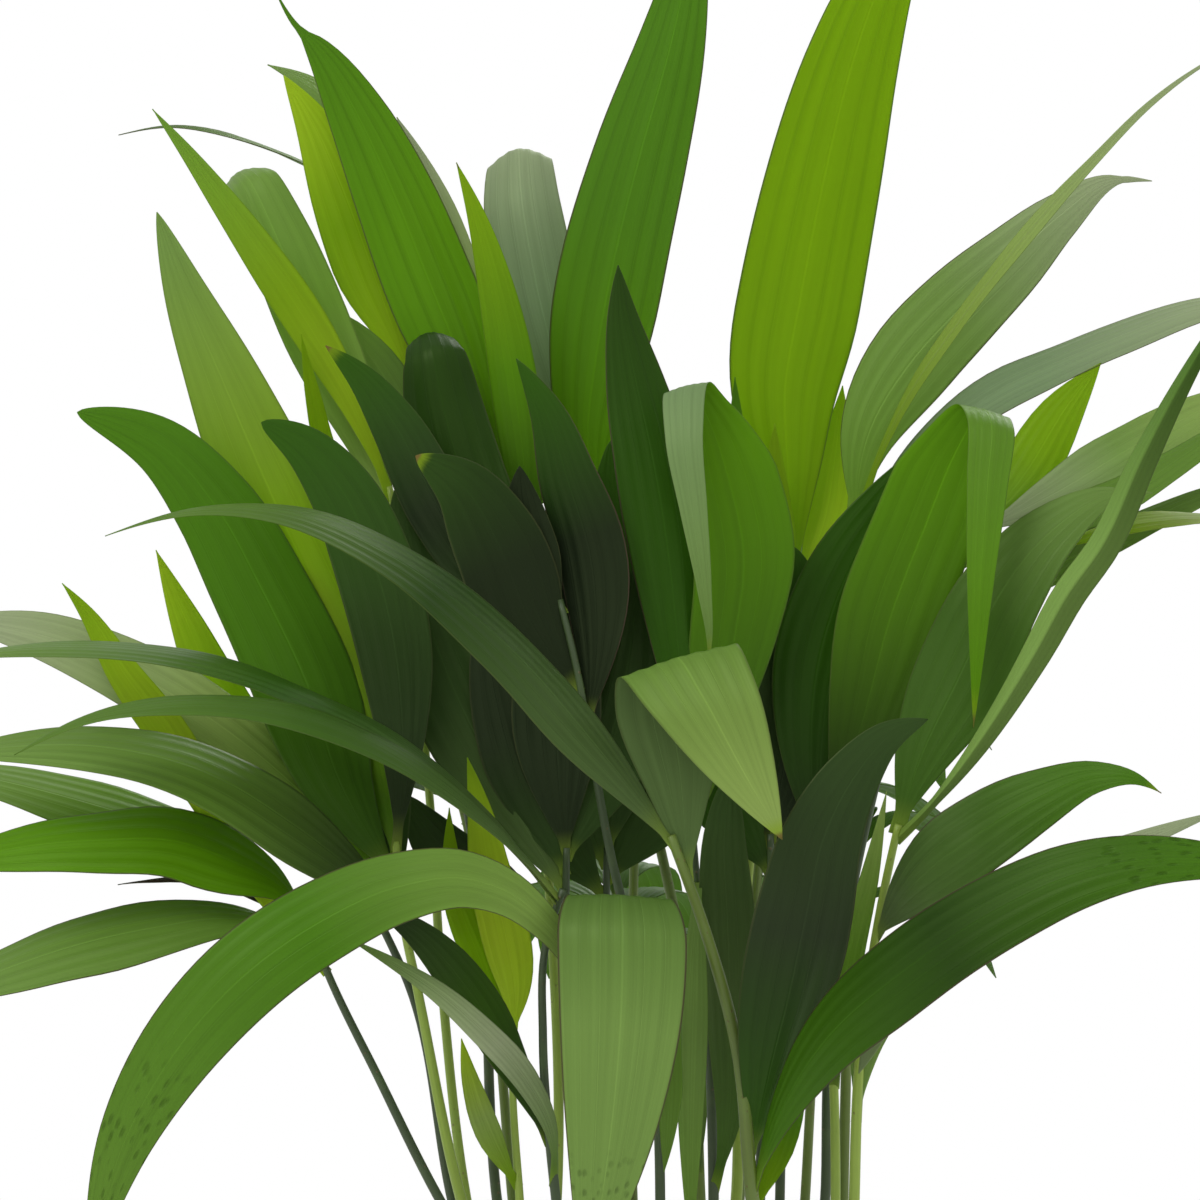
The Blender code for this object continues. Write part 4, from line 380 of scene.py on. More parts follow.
        ((-1.3, -2.1, 34.0), [(-2.6, -2.9, 37.2), (-3.3, -3.0, 40.2), (-3.6, -2.8, 43.4)],
         3.2, 0, 0, 0.42, 0.7, 0.1, "ivy ivy ivy"),
        ((-1.3, -2.2, 34.5), [(-0.9, -2.8, 37.4), (-0.8, -2.8, 41.0), (-1.15, -2.5, 46.8)],
         3.2, 0, 0, 0.42, 0.7, 0.1, "ivy ivy dark"),
        ((-1.3, -2.0, 33.5), [(0.3, -2.4, 36.2), (1.4, -2.5, 38.6), (1.7, -2.4, 41.4)],
         3.0, 0, 0, 0.45, 0.7, 0.1, "ivy ivy ivy"),
    ]),
    ("frond_dark_right", "cane_05", 1, "moss", 0.17, [
        (3.3, -1.6, 24.0), (3.5, -2.2, 30.0), (3.6, -2.4, 33.0), (3.6, -2.6, 35.0)], [
        ((3.6, -2.6, 34.8), [(4.2, -2.7, 38.4), (4.45, -2.5, 41.2), (4.3, -2.1, 43.6)],
         2.9, 0, 0, 0.45, 0.7, 0.1, "shade shade dark"),
        ((3.6, -2.55, 34.4), [(2.9, -2.8, 38.2), (2.5, -2.7, 41.2), (2.6, -2.2, 43.8)],
         2.9, 0, 0, 0.45, 0.7, 0.1, "night ivy ivy"),
        ((3.6, -2.5, 33.8), [(2.3, -2.9, 36.0), (1.3, -3.2, 38.2), (0.7, -3.1, 40.2)],
         2.5, 0, 0, 0.5, 0.7, 0.1, "ivy dark dark"),
    ]),
    ("frond_dark_far", "cane_08", 1, "moss", 0.17, [
        (3.9, 0.6, 24.0), (4.1, 0.1, 30.0), (4.4, -0.6, 34.8)], [
        ((4.4, -0.5, 34.2), [(5.3, -1.0, 37.0), (6.3, -1.1, 39.4), (6.9, -1.1, 42.0)],
         2.9, 0, 0, 0.45, 0.7, 0.1, "shade shade dark"),
        ((4.4, -0.6, 34.7), [(4.5, -1.1, 37.6), (4.7, -1.2, 40.6), (5.0, -1.0, 43.4)],
         3.0, 0, 0, 0.42, 0.7, 0.1, "night shade dark"),
        ((4.4, -0.5, 34.0), [(3.2, -1.0, 36.4), (2.2, -1.2, 39.2), (1.8, -1.1, 42.4)],
         3.0, 0, 0, 0.42, 0.7, 0.1, "night shade shade"),
    ]),
]

# Fronds at the back: name, cane, slot, lean bearing in degrees, reach, height, leaflet pairs, leaflet length
REAR_FRONDS = [
    ("frond_back_01", "cane_11", 0, 122, 8.0, 41.8, 3, 8.0),
    ("frond_back_02", "cane_09", 0, 112, 9.5, 38.0, 2, 8.0),
    ("frond_back_03", "cane_12", 1, 92, 12.0, 33.0, 3, 6.6),
    ("frond_back_04", "cane_12", 0, 86, 6.5, 46.2, 2, 8.0),
    ("frond_back_05", "cane_10", 1, 76, 9.5, 38.4, 2, 7.6),
    ("frond_back_06", "cane_10", 0, 56, 5.0, 42.8, 2, 7.0),
    ("frond_back_07", "cane_08", 0, 70, 6.0, 34.6, 2, 5.8),
]

# How much light comes through a blade of each colour
GLOW = {"night": 0.0, "shade": 0.0, "bottle": 0.05, "ivy": 0.05, "dark": 0.08, "deep": 0.1, "mid": 0.16,
        "bright": 0.24, "lime": 0.4, "gold": 0.4, "lemon": 0.4, "fresh": 0.26, "sage": 0.14, "pale": 0.14,
        "mist": 0.16, "haze": 0.1, "slate": 0.05, "silver": 0.1, "plum": 0.0}
REAR_LOOK = "deep mid mid"
REAR_STALK = ("olive", 0.17)
REAR_WIDTH = 2.4
REAR_STRAIGHT = 24.0
MARKS = ("tip", "edge", "dimples")
# The sheen trait paints a sheen of reflected light onto a blade
TRAITS = ("bands", "sheen", "rib")

# Blade mesh
ROWS_PER_CM = 2.4
COLUMNS = 24
NARROW_COLUMNS = 16
NARROW_WIDTH = 1.6
FOOT_WIDTH = 0.30
TIP_WIDTH = 0.03
TAIL_WIDTH = 0.18
# Painted shade and painted light on the two halves of a split leaflet
SPLIT_SHADED_HALF = 0.55
SPLIT_LIT_HALF = 1.25
END_ROWS = 0.75
STALK_SIDES = 14
STALK_TIP = 0.62
STALK_MIDDLE = 0.88
STALK_RINGS = 54
STALK_FLARE = 0.08
FLARE_LENGTH = 1.6

# Starts of the random draws
FROND_SEED = 700
REAR_SEED = 100
STEM_SEED = 300
CRUMB_SEED = 41

# Pot and soil
ROLL_RADIUS = 0.10
RIM_OVERHANG = 0.12
POT_TAPER = 2.4
RIM_SETBACK = 0.5
RIM_DEPTH = 1.7
POT_STEPS = 96
HOLES = 6
HOLE_RADIUS = 0.45
HOLE_REACH = 3.65
SOIL_RINGS = 40
SOIL_STEPS = 120
SOIL_TAPER = 1.83
STEM_CLEARANCE = 0.62

# Stage, in metres
FLOOR_RADIUS = 4.0
KEY_PLACE = (-0.7, -1.3, 1.7)
KEY_TARGET = (0.0, 0.0, 0.4)
BACK_PLACE = (0.6, 1.2, 1.6)
BACK_TARGET = (0.0, 0.0, 0.45)
BACK_SHARE = 0.8
LAMP_SIZE = 1.0


def colour_setting(name, description, default):
    return bpy.props.FloatVectorProperty(name=name, description=description, default=default, subtype="COLOR",
                                         size=3, min=0.0, max=1.0)


def length_setting(name, description, default):
    return bpy.props.FloatProperty(name=name, description=description, default=default, min=0.0,
                                   subtype="DISTANCE", unit="LENGTH")


def share_setting(name, description, default):
    return bpy.props.FloatProperty(name=name, description=description, default=default, min=0.0, max=1.0,
                                   subtype="FACTOR")


class LeafSettings(bpy.types.PropertyGroup):
    """Colours and sizes of the blades and their stalks."""

    thickness: length_setting("Blade thickness", "Thickness of a blade at its midrib", 0.0004)
    pleat: length_setting("Pleat depth", "Depth of the shallow folds along a blade", 0.00035)
    ripple: length_setting("Edge ripple", "How far a blade's edges wave up and down", 0.0007)
    gloss: share_setting("Face roughness", "Roughness of the glossy upper face", 0.36)
    matt: share_setting("Back roughness", "Roughness of the back", 0.5)
    # Night, Shade and Bottle are greens darkened as painted shade, for the leaves deep inside the plant where
    # little light reaches
    night: colour_setting("Night", "Innermost leaves", (0.007, 0.012, 0.005))
    shade: colour_setting("Shade", "Leaves deep in the plant", (0.015, 0.024, 0.011))
    bottle: colour_setting("Bottle", "Saturated green in deep shade", (0.013, 0.040, 0.003))
    ivy: colour_setting("Ivy", "Dull dark green", (0.026, 0.057, 0.012))
    dark: colour_setting("Dark", "Old dark leaves", (0.022, 0.078, 0.003))
    deep: colour_setting("Deep", "Full grown leaves", (0.040, 0.099, 0.010))
    mid: colour_setting("Mid", "Leaf green", (0.058, 0.165, 0.006))
    bright: colour_setting("Bright", "Fresh saturated green", (0.092, 0.234, 0.003))
    # Lime, Gold and Lemon hold painted light: the glow of young leaves lit from behind is painted into them
    lime: colour_setting("Lime", "Young leaves with light behind them", (0.176, 0.275, 0.002))
    gold: colour_setting("Gold", "The yellower leaves", (0.219, 0.329, 0.008))
    lemon: colour_setting("Lemon", "The youngest, palest yellow-green", (0.420, 0.520, 0.024))
    fresh: colour_setting("Fresh", "Light green with a soft bloom", (0.150, 0.275, 0.035))
    sage: colour_setting("Sage", "Greyed green", (0.104, 0.200, 0.026))
    pale: colour_setting("Pale", "Light grey-green", (0.156, 0.257, 0.058))
    # Mist is a pale green lightened as painted light, for leaves in full light
    mist: colour_setting("Mist", "Lighter still, in full light", (0.246, 0.342, 0.084))
    haze: colour_setting("Haze", "Blue-grey green", (0.165, 0.240, 0.120))
    slate: colour_setting("Slate", "Dull dark grey-green", (0.074, 0.122, 0.036))
    # Silver is a real grey bloom and pale midrib on some leaves, and also the colour of the painted sheen
    silver: colour_setting("Silver", "Light grey bloom", (0.300, 0.350, 0.200))
    plum: colour_setting("Plum", "Purple-brown margins", (0.060, 0.030, 0.028))
    brown: colour_setting("Brown", "Dried tips", (0.140, 0.075, 0.030))
    olive: colour_setting("Olive", "Olive stalks", (0.105, 0.160, 0.018))
    moss: colour_setting("Moss", "Dark stalks", (0.033, 0.060, 0.015))
    leek: colour_setting("Leek", "Light green stalks", (0.250, 0.360, 0.040))


class StemSettings(bpy.types.PropertyGroup):
    """Stem bases."""

    skin: colour_setting("Skin", "Smooth green skin of a stem base", (0.110, 0.150, 0.030))
    scar: colour_setting("Scar", "Rings where old leaves were", (0.200, 0.150, 0.075))
    husk: colour_setting("Husk", "Dry brown skin near the soil", (0.110, 0.065, 0.030))


class PotSettings(bpy.types.PropertyGroup):
    """The pot and its soil."""

    wall: length_setting("Wall", "Thickness of the pot's wall", 0.002)
    plastic: colour_setting("Plastic", "Colour of the pot", (0.020, 0.020, 0.021))
    soil: colour_setting("Soil", "Colour of the moist soil", (0.030, 0.018, 0.011))
    bark: colour_setting("Bark", "Colour of the bark chips in the soil", (0.090, 0.045, 0.022))
    perlite: colour_setting("Perlite", "Colour of the white grains in the soil", (0.620, 0.600, 0.560))
    crumbs: bpy.props.IntProperty(name="Crumbs", description="Loose crumbs on the soil", default=900, min=0,
                                  max=2000)


class StageSettings(bpy.types.PropertyGroup):
    """Camera, lamps and floor."""

    distance: length_setting("Camera distance", "From the camera to the plant", 10.0)
    view_width: length_setting("View width", "Width that the camera sees at the plant", 0.36)
    view_x: length_setting("View centre", "Sideways place of the view's centre", -0.015)
    view_z: length_setting("View height", "Height of the view's centre", 0.42)
    daylight: share_setting("Daylight", "Strength of the even light from all round", 0.80)
    key: bpy.props.FloatProperty(name="Key lamp", description="Strength of the large lamp", default=14.0,
                                 min=0.0, unit="POWER")
    floor: colour_setting("Floor", "Colour of the floor", (0.86, 0.86, 0.85))


class PalmSettings(bpy.types.PropertyGroup):
    """All the palm's settings."""

    leaf: bpy.props.PointerProperty(type=LeafSettings)
    stem: bpy.props.PointerProperty(type=StemSettings)
    pot: bpy.props.PointerProperty(type=PotSettings)
    stage: bpy.props.PointerProperty(type=StageSettings)


class Value:
    """An output of a material's nodes, so that shader maths is written as expressions."""

    def __init__(self, surface, output):
        self.surface = surface
        self.output = output

    def maths(self, operation, *others):
        values = dict(enumerate((self, *others)))
        return self.surface.node("ShaderNodeMath", {"operation": operation}, values)

    def turned(self, operation, other):
        return self.surface.node("ShaderNodeMath", {"operation": operation}, {0: other, 1: self})

    def __add__(self, other):
        return self.maths("ADD", other)

    def __sub__(self, other):
        return self.maths("SUBTRACT", other)

    def __rsub__(self, other):
        return self.turned("SUBTRACT", other)

    def __mul__(self, other):
        return self.maths("MULTIPLY", other)

    def __abs__(self):
        return self.maths("ABSOLUTE")

    __radd__ = __add__

    def rise(self, low, high):
        """0 below low, 1 above high, smooth between."""
        return self.surface.node("ShaderNodeMapRange", {"interpolation_type": "SMOOTHSTEP"},
                                 {"Value": self, "From Min": low, "From Max": high})

    def line(self, place, half_width):
        """1 at the place, falling to 0 half a width away."""
        return 1 - abs(self - place).rise(0.0, half_width)

    def parts(self):
        """The three components of a vector."""
        split = self.surface.tree.nodes.new("ShaderNodeSeparateXYZ")
        self.surface.feed(split.inputs[0], self)
        return [Value(self.surface, output) for output in split.outputs]


class Surface:
    """A material under construction."""

    def __init__(self, name):
        self.made = bpy.data.materials.new(name)
        self.made.use_nodes = True
        self.tree = self.made.node_tree
        self.tree.nodes.clear()

    def feed(self, socket, value):
        if isinstance(value, Value):
            self.tree.links.new(value.output, socket)
        elif hasattr(socket.default_value, "__len__") and len(socket.default_value) == 4:
            socket.default_value = (*tuple(value)[:3], 1.0)
        else:
            socket.default_value = value

    def node(self, kind, settings=None, inputs=None, output=0):
        made = self.tree.nodes.new(kind)
        for key, value in (settings or {}).items():
            setattr(made, key, value)
        for key, value in (inputs or {}).items():
            self.feed(made.inputs[key], value)
        return Value(self, made.outputs[output])

    def attribute(self, name, output="Vector"):
        return self.node("ShaderNodeAttribute", {"attribute_name": name}, output=output)

    def place(self):
        return self.node("ShaderNodeTexCoord", output="Object")

    def vector(self, x, y, z):
        return self.node("ShaderNodeCombineXYZ", inputs={0: x, 1: y, 2: z})

    def noise(self, at, scale, detail=2.0):
        return self.node("ShaderNodeTexNoise", inputs={"Vector": at, "Scale": scale, "Detail": detail})

    def cells(self, at, scale):
        return self.node("ShaderNodeTexVoronoi", inputs={"Vector": at, "Scale": scale}, output="Distance")

    def mix(self, first, second, factor, blend="MIX"):
        settings = {"data_type": "RGBA", "blend_type": blend}
        return self.node("ShaderNodeMix", settings, {0: factor, 6: first, 7: second}, output=2)

    def bump(self, height, depth, strength=1.0):
        return self.node("ShaderNodeBump", inputs={"Height": height, "Distance": depth, "Strength": strength})

    def principled(self, colour, roughness, normal, **constants):
        inputs = {"Base Color": colour, "Roughness": roughness, "Normal": normal}
        inputs.update({key.replace("_", " "): value for key, value in constants.items()})
        return self.node("ShaderNodeBsdfPrincipled", inputs=inputs)

    def finish(self, shader):
        output = self.tree.nodes.new("ShaderNodeOutputMaterial")
        self.feed(output.inputs["Surface"], shader)
        return self.made


def once(name, build, *settings):
    """A material by name, built the first time it is asked for."""
    return bpy.data.materials.get(name) or build(name, *settings)


def leaf_finish(name, leaf):
    """Blade: fine veins, pale side veins over darker bands, a margin, a dried tip, painted shade in its
    dimples, a painted sheen and light through it.
    """
    s = Surface(name)
    across, along, back = s.attribute("blade").parts()
    tip, edge, dimples = s.attribute("leaf_marks").parts()
    bands, sheen, rib = s.attribute("leaf_traits").parts()
    seed = s.attribute("leaf_seed", "Fac")
    colour = s.attribute("leaf_colour", "Color")
    glow = s.attribute("leaf_colour", "Alpha")
    out = abs(across)
    streaks = s.noise(s.vector(across * 7 + seed * 40, along * 1.2, seed * 9), 1.0, 3.0)
    threads = s.noise(s.vector(across * 34 + seed * 70, along * 1.6, seed * 5), 1.0, 1.0)
    clouds = s.noise(s.place(), 28.0, 2.0)
    inner = out.line(0.30 + seed * 0.08, 0.075)
    outer = out.line(0.64 + seed * 0.05, 0.06)
    thin = out.line(0.30 + seed * 0.08, 0.014) + out.line(0.64 + seed * 0.05, 0.012) * 0.7
    midrib = out.rise(0.035, 0.0)
    shade = 0.66 + streaks * 0.34 + threads * 0.20 + clouds * 0.12 - (inner + outer) * (0.07 + bands * 0.12)
    dents = s.cells(s.vector(across * 5, along * 42, seed), 1.0).rise(0.42, 0.1)
    pits = dents * dimples * along.rise(0.70, 0.78)
    lines = (thin * 0.3 + midrib * 0.22) * along.rise(1.0, 0.82)
    # The dimples' pits are darkened in colour too, as painted shade in them
    toned = s.mix(colour, shade * (lines + 1.0 - pits * 0.3), 1.0, "MULTIPLY")
    veined = s.mix(toned, leaf.silver, midrib * rib * along.rise(1.0, 0.9) * 0.7)
    footed = s.mix(veined, leaf.leek, along.rise(0.09, 0.0) * 0.5)
    rimmed = s.mix(footed, leaf.pale, out.rise(0.95, 0.985) * 0.12)
    margin = s.mix(rimmed, leaf.plum, out.rise(0.962, 0.985) * (0.25 + edge * 0.6))
    # Painted sheen: silver laid in streaky clouds over a blade, as a painted reflection
    with_painted_sheen = s.mix(margin, leaf.silver, (clouds + streaks * 0.5).rise(0.6, 1.0) * sheen * 0.1)
    dried = (along + streaks * 0.01).rise(0.984, 0.996) * tip
    yellowed = s.mix(with_painted_sheen, leaf.gold, (along + streaks * 0.02).rise(0.955, 0.99) * tip * 0.6)
    ended = s.mix(yellowed, leaf.brown, dried * 0.85)
    height = threads * 0.35 + streaks * 0.5 - thin * 0.5 - midrib * 0.6 - pits * 3.0
    dull = leaf.gloss + streaks * 0.12 + back * (leaf.matt - leaf.gloss) + dried * 0.3
    skin = s.principled(ended, dull, s.bump(height, 0.0003, 0.55), Specular_IOR_Level=0.22,
                        Specular_Tint=(0.75, 1.0, 0.45))
    through = s.node("ShaderNodeBsdfTranslucent", inputs={"Color": (0.5, 0.85, 0.04)})
    return s.finish(s.node("ShaderNodeMixShader", inputs={0: glow, 1: skin, 2: through}))


def stalk_finish(name, leaf):
    """Leaf stalk: long streaks, a pale bloom and small corky specks."""
    s = Surface(name)
    around, along, _ = s.attribute("blade").parts()
    colour = s.attribute("leaf_colour", "Color")
    streaks = s.noise(s.vector(around * 9, along * 2.5, 0.0), 1.0, 3.0)
    clouds = s.noise(s.place(), 60.0, 2.0)
    specks = s.cells(s.place(), 420.0).rise(0.25, 0.12) * clouds.rise(0.48, 0.6)
    toned = s.mix(colour, 0.72 + streaks * 0.35 + clouds * 0.22, 1.0, "MULTIPLY")
    bloomed = s.mix(toned, leaf.pale, clouds.rise(0.5, 0.75) * 0.16)
    aged = s.mix(bloomed, leaf.gold, along.rise(0.10, 0.0) * 0.35)
    ended = s.mix(aged, leaf.brown, specks * 0.45)
    height = streaks * 0.6 + specks
    return s.finish(s.principled(ended, 0.36 + streaks * 0.15, s.bump(height, 0.0003, 0.5)))


def stem_finish(name, stem):
    """Stem base: green skin, pale ring scars and a dry husk near the soil."""
    s = Surface(name)
    around, along, ring = s.attribute("stem").parts()
    place = s.place()
    streaks = s.noise(s.vector(around * 14, along * 3, 0.0), 1.0, 4.0)
    clouds = s.noise(place, 70.0, 3.0)
    toned = s.mix(stem.skin, 0.66 + streaks * 0.4 + clouds * 0.3, 1.0, "MULTIPLY")
    ringed = s.mix(toned, stem.scar, ring * (0.55 + clouds * 0.6))
    dry = (along + clouds * 0.45).rise(0.62, 0.3)
    husked = s.mix(ringed, stem.husk, dry * 0.85)
    height = streaks * 0.8 + clouds * 0.4 + ring
    return s.finish(s.principled(husked, 0.42 + dry * 0.35, s.bump(height, 0.0004, 0.7)))


def plastic_finish(name, pot):
    """Moulded pot: a fine grain, faint flow marks, dust and splashes of soil."""
    s = Surface(name)
    place = s.place()
    _, _, z = place.parts()
    grain = s.noise(place, 900.0, 2.0)
    flow = s.noise(s.vector(0.0, 0.0, z * 130), 1.0, 3.0)
    clouds = s.noise(place, 22.0, 4.0)
    dust = clouds.rise(0.5, 0.72) * (0.35 + z.rise(0.1, 0.118) * 0.9)
    splash = s.cells(place, 110.0).rise(0.2, 0.12) * clouds.rise(0.56, 0.66)
    toned = s.mix(pot.plastic, 0.85 + clouds * 0.3 + flow * 0.12, 1.0, "MULTIPLY")
    dusty = s.mix(toned, (0.16, 0.14, 0.12), dust * 0.22)
    ended = s.mix(dusty, pot.soil, splash * 0.7)
    height = grain * 0.25 + flow * 0.6 + splash * 0.8
    return s.finish(s.principled(ended, 0.44 + dust * 0.3 + grain * 0.1, s.bump(height, 0.0002, 0.6)))


def soil_finish(name, pot):
    """Moist potting soil: dark crumbs, some bark and white grains, each crumb with a shade of its own."""
    s = Surface(name)
    place = s.place()
    kind, own, _ = s.attribute("crumb").parts()
    crumbs = s.noise(place, 420.0, 5.0)
    patches = s.noise(place, 60.0, 3.0)
    bark = s.mix(pot.soil, pot.bark, kind.rise(0.3, 0.5))
    mixed = s.mix(bark, pot.perlite, kind.rise(0.8, 0.9))
    toned = s.mix(mixed, 0.55 + crumbs * 0.7 + own * 0.5, 1.0, "MULTIPLY")
    damp = patches.rise(0.62, 0.42)
    ended = s.mix(toned, (0.010, 0.007, 0.005), damp * 0.35)
    height = crumbs + patches * 0.4
    return s.finish(s.principled(ended, 0.92 - damp * 0.25, s.bump(height, 0.0008, 0.9)))


def floor_finish(name, stage):
    """Pale floor with a faint unevenness."""
    s = Surface(name)
    clouds = s.noise(s.place(), 3.0, 2.0)
    toned = s.mix(stage.floor, 0.98 + clouds * 0.04, 1.0, "MULTIPLY")
    return s.finish(s.principled(toned, 0.8, s.bump(clouds, 0.0001, 0.1)))


def smooth_route(points, count, bend=0.0, ends=0.0):
    """Stations on a smooth curve through the points, closer where it bends and near its ends, with each one's
    share of the length, and the pace along it."""
    p = np.array(points, float)
    gaps = np.linalg.norm(np.diff(p, axis=0), axis=1)
    slopes = np.empty_like(p)
    chords = np.diff(p, axis=0) / gaps[:, None]
    weighted = chords[:-1] * gaps[1:, None] + chords[1:] * gaps[:-1, None]
    slopes[1:-1] = weighted / (gaps[:-1] + gaps[1:])[:, None]
    slopes[0] = chords[0] if len(p) == 2 else 1.5 * chords[0] - 0.5 * slopes[1]
    slopes[-1] = chords[-1] if len(p) == 2 else 1.5 * chords[-1] - 0.5 * slopes[-2]
    fine = []
    for i, gap in enumerate(gaps):
        t = np.linspace(0.0, 1.0, 24, endpoint=i == len(gaps) - 1)[:, None]
        fine.append((2 * t**3 - 3 * t**2 + 1) * p[i] + (t**3 - 2 * t**2 + t) * gap * slopes[i]
                    + (3 * t**2 - 2 * t**3) * p[i + 1] + (t**3 - t**2) * gap * slopes[i + 1])
    fine = np.concatenate(fine)
    steps = np.diff(fine, axis=0)
    sizes = np.linalg.norm(steps, axis=1)
    turns = np.zeros(len(sizes))
    cosines = np.sum(steps[1:] * steps[:-1], axis=1) / (sizes[1:] * sizes[:-1])
    turns[1:] = np.arccos(np.clip(cosines, -1.0, 1.0))
    run = np.concatenate([[0.0], np.cumsum(sizes)])
    pace = np.concatenate([[0.0], np.cumsum(sizes + bend * turns)])
    even = np.linspace(0.0, 1.0, count + 1)
    eased = even * (1 - ends) + ends * (1 - np.cos(math.pi * even)) / 2
    wanted = eased * pace[-1]
    stations = np.stack([np.interp(wanted, pace, fine[:, k]) for k in range(3)], axis=1)
    return stations, np.interp(wanted, pace, run) / run[-1], pace[-1]


def station_frames(line, face, roll, twist):
    """Tangent and blade normal at each station; the normal is carried along without spinning."""
    tangents = np.gradient(line, axis=0)
    tangents /= np.linalg.norm(tangents, axis=1)[:, None]
    normals = np.empty_like(line)
    carried = np.array(face, float)
    for i, along in enumerate(tangents):
        carried = carried - along * carried.dot(along)
        carried /= np.linalg.norm(carried)
        turn = math.radians(roll + twist * i / (len(line) - 1))
        normals[i] = carried * math.cos(turn) + np.cross(along, carried) * math.sin(turn)
    return tangents, normals


def blade_share(u, belly, taper):
    """Share of the widest half width at u, from 0 at the foot to 1 at the tip."""
    swelling = np.sin(math.pi / 2 * np.clip(u / belly, 0.0, 1.0)) ** 1.2
    ending = np.sin(math.pi / 2 * np.clip((1.0 - u) / (1.0 - belly), 0.0, 1.0)) ** taper
    return np.where(u < belly, swelling, ending)


def tint(leaf, words, u):
    """Colour and glow at each u, from three colour names: foot, middle and tip."""
    named = np.array([(*getattr(leaf, word), GLOW[word]) for word in words])
    return np.stack([np.interp(u, (0.05, 0.5, 0.95), named[:, k]) for k in range(4)], axis=1)


class Layers:
    """The attributes that the finishes read."""

    def __init__(self, bm):
        self.blade = bm.verts.layers.float_vector.new("blade")
        self.colour = bm.verts.layers.float_color.new("leaf_colour")
        self.marks = bm.verts.layers.float_vector.new("leaf_marks")
        self.traits = bm.verts.layers.float_vector.new("leaf_traits")
        self.seed = bm.verts.layers.float.new("leaf_seed")


def add_blade(bm, layers, leaf, rng, points, width, roll, twist, belly, taper, fold, look, face=FACING,
              hinge=None, narrow=(1.0, 1.0), dome=0.0, tail=0.0):
    """A blade: a grid laid along its route, given its back and rim by extrusion.
    A hinge is the fixed direction across a blade that folds over. Narrow closes it lengthwise past a share of
    its length. A dome lowers its edges where it goes over the top. A tail is the share that is a thread."""
    _, _, pace = smooth_route(points, 8, BEND_PACE)
    rows = max(16, round(pace * ROWS_PER_CM))
    columns = COLUMNS if width > NARROW_WIDTH else NARROW_COLUMNS
    line, shares, _ = smooth_route(points, rows, BEND_PACE, END_ROWS)
    tangents, normals = station_frames(line, face, roll, twist)
    sides = np.cross(normals, tangents)
    if hinge is not None:
        sides = np.tile(np.array(hinge) / np.linalg.norm(hinge), (len(line), 1))
        normals = np.cross(tangents, sides)
        normals /= np.linalg.norm(normals, axis=1)[:, None]
    closed = np.clip((shares - narrow[0]) / 0.1 + 1.0, 0.0, 1.0)
    halves = width / 2 * (1.0 - closed * (1.0 - narrow[1])) * blade_share(shares / (1.0 - tail), belly, taper)
    least = FOOT_WIDTH / 2 * (1.0 - shares) ** 2 + TIP_WIDTH / 2
    if tail:
        least = least + TAIL_WIDTH / 2 * np.clip((1.0 - shares) / tail, 0.0, 1.0)
    halves = np.maximum(halves, least)

    start = len(bm.verts)
    made = bmesh.ops.create_grid(bm, x_segments=columns, y_segments=rows, size=1.0)
    faces = list({f for v in made["verts"] for f in v.link_faces})
    for vert in made["verts"]:
        vert[layers.blade] = (vert.co.x, vert.co.y, 0.0)
    shell = bmesh.ops.extrude_face_region(bm, geom=faces, use_keep_orig=True)
    for vert in shell["geom"]:
        if isinstance(vert, bmesh.types.BMVert):
            x, y, _ = vert[layers.blade]
            vert[layers.blade] = (x, y, 1.0)
    bm.verts.ensure_lookup_table()
    verts = bm.verts[start:]

    grid = np.array([v[layers.blade] for v in verts])
    across, back = grid[:, 0], grid[:, 2]
    row = np.rint((grid[:, 1] + 1) / 2 * rows).astype(int)
    u, half = shares[row], halves[row]
    open_share = half / halves.max()
    phases = rng.uniform(0.0, math.tau, 4)
    swing = np.sin(math.tau * 1.6 * u + np.where(across > 0, phases[0], phases[1]))
    flutter = np.sin(math.tau * 4.1 * u + np.where(across > 0, phases[2], phases[3]))
    rise = -half * (np.abs(across) * fold + across**2 * dome * np.clip((u - 0.45) / 0.25, 0.0, 1.0))
    rise = rise + leaf.pleat / CM * open_share * (np.cos(math.tau * 3 * across) - 1) / 2
    rise = rise - 0.03 * open_share * np.exp(-((across * half / 0.06) ** 2))
    rise = rise + leaf.ripple / CM * open_share * across**2 * (swing + 0.35 * flutter)
    thick = leaf.thickness / CM * (1.3 - 0.6 * u) * (1.0 - 0.55 * across**8)
    depth = rise + thick * (0.5 - back)
    spots = (line[row] + sides[row] * (across * half)[:, None] + normals[row] * depth[:, None]) * CM

    faces_words, _, marks = look.partition("|")
    front, _, rear = faces_words.partition("/")
    front_tint = tint(leaf, front.split(), u)
    paler = front_tint * 0.6 + tint(leaf, ["sage"] * 3, u) * 0.3
    rear_tint = tint(leaf, rear.split(), u) if rear.strip() else paler
    tints = np.where(back[:, None] > 0.5, rear_tint, front_tint)
    # Split: one half of a folded leaflet is darkened and the other lightened, as painted shade and painted
    # light on its two sides
    if "split" in marks:
        tints[:, :3] *= np.where(across < 0.0, SPLIT_SHADED_HALF, SPLIT_LIT_HALF)[:, None]
    marked = tuple(float(mark in marks.split()) for mark in MARKS)
    traits = tuple(float(trait in marks.split()) for trait in TRAITS)
    seed = float(rng.uniform())
    for vert, spot, colour, share in zip(verts, spots, tints, u):
        vert.co = spot
        x, _, z = vert[layers.blade]
        vert[layers.blade] = (x, share, z)
        vert[layers.colour] = colour
        vert[layers.marks] = marked
        vert[layers.traits] = traits
        vert[layers.seed] = seed


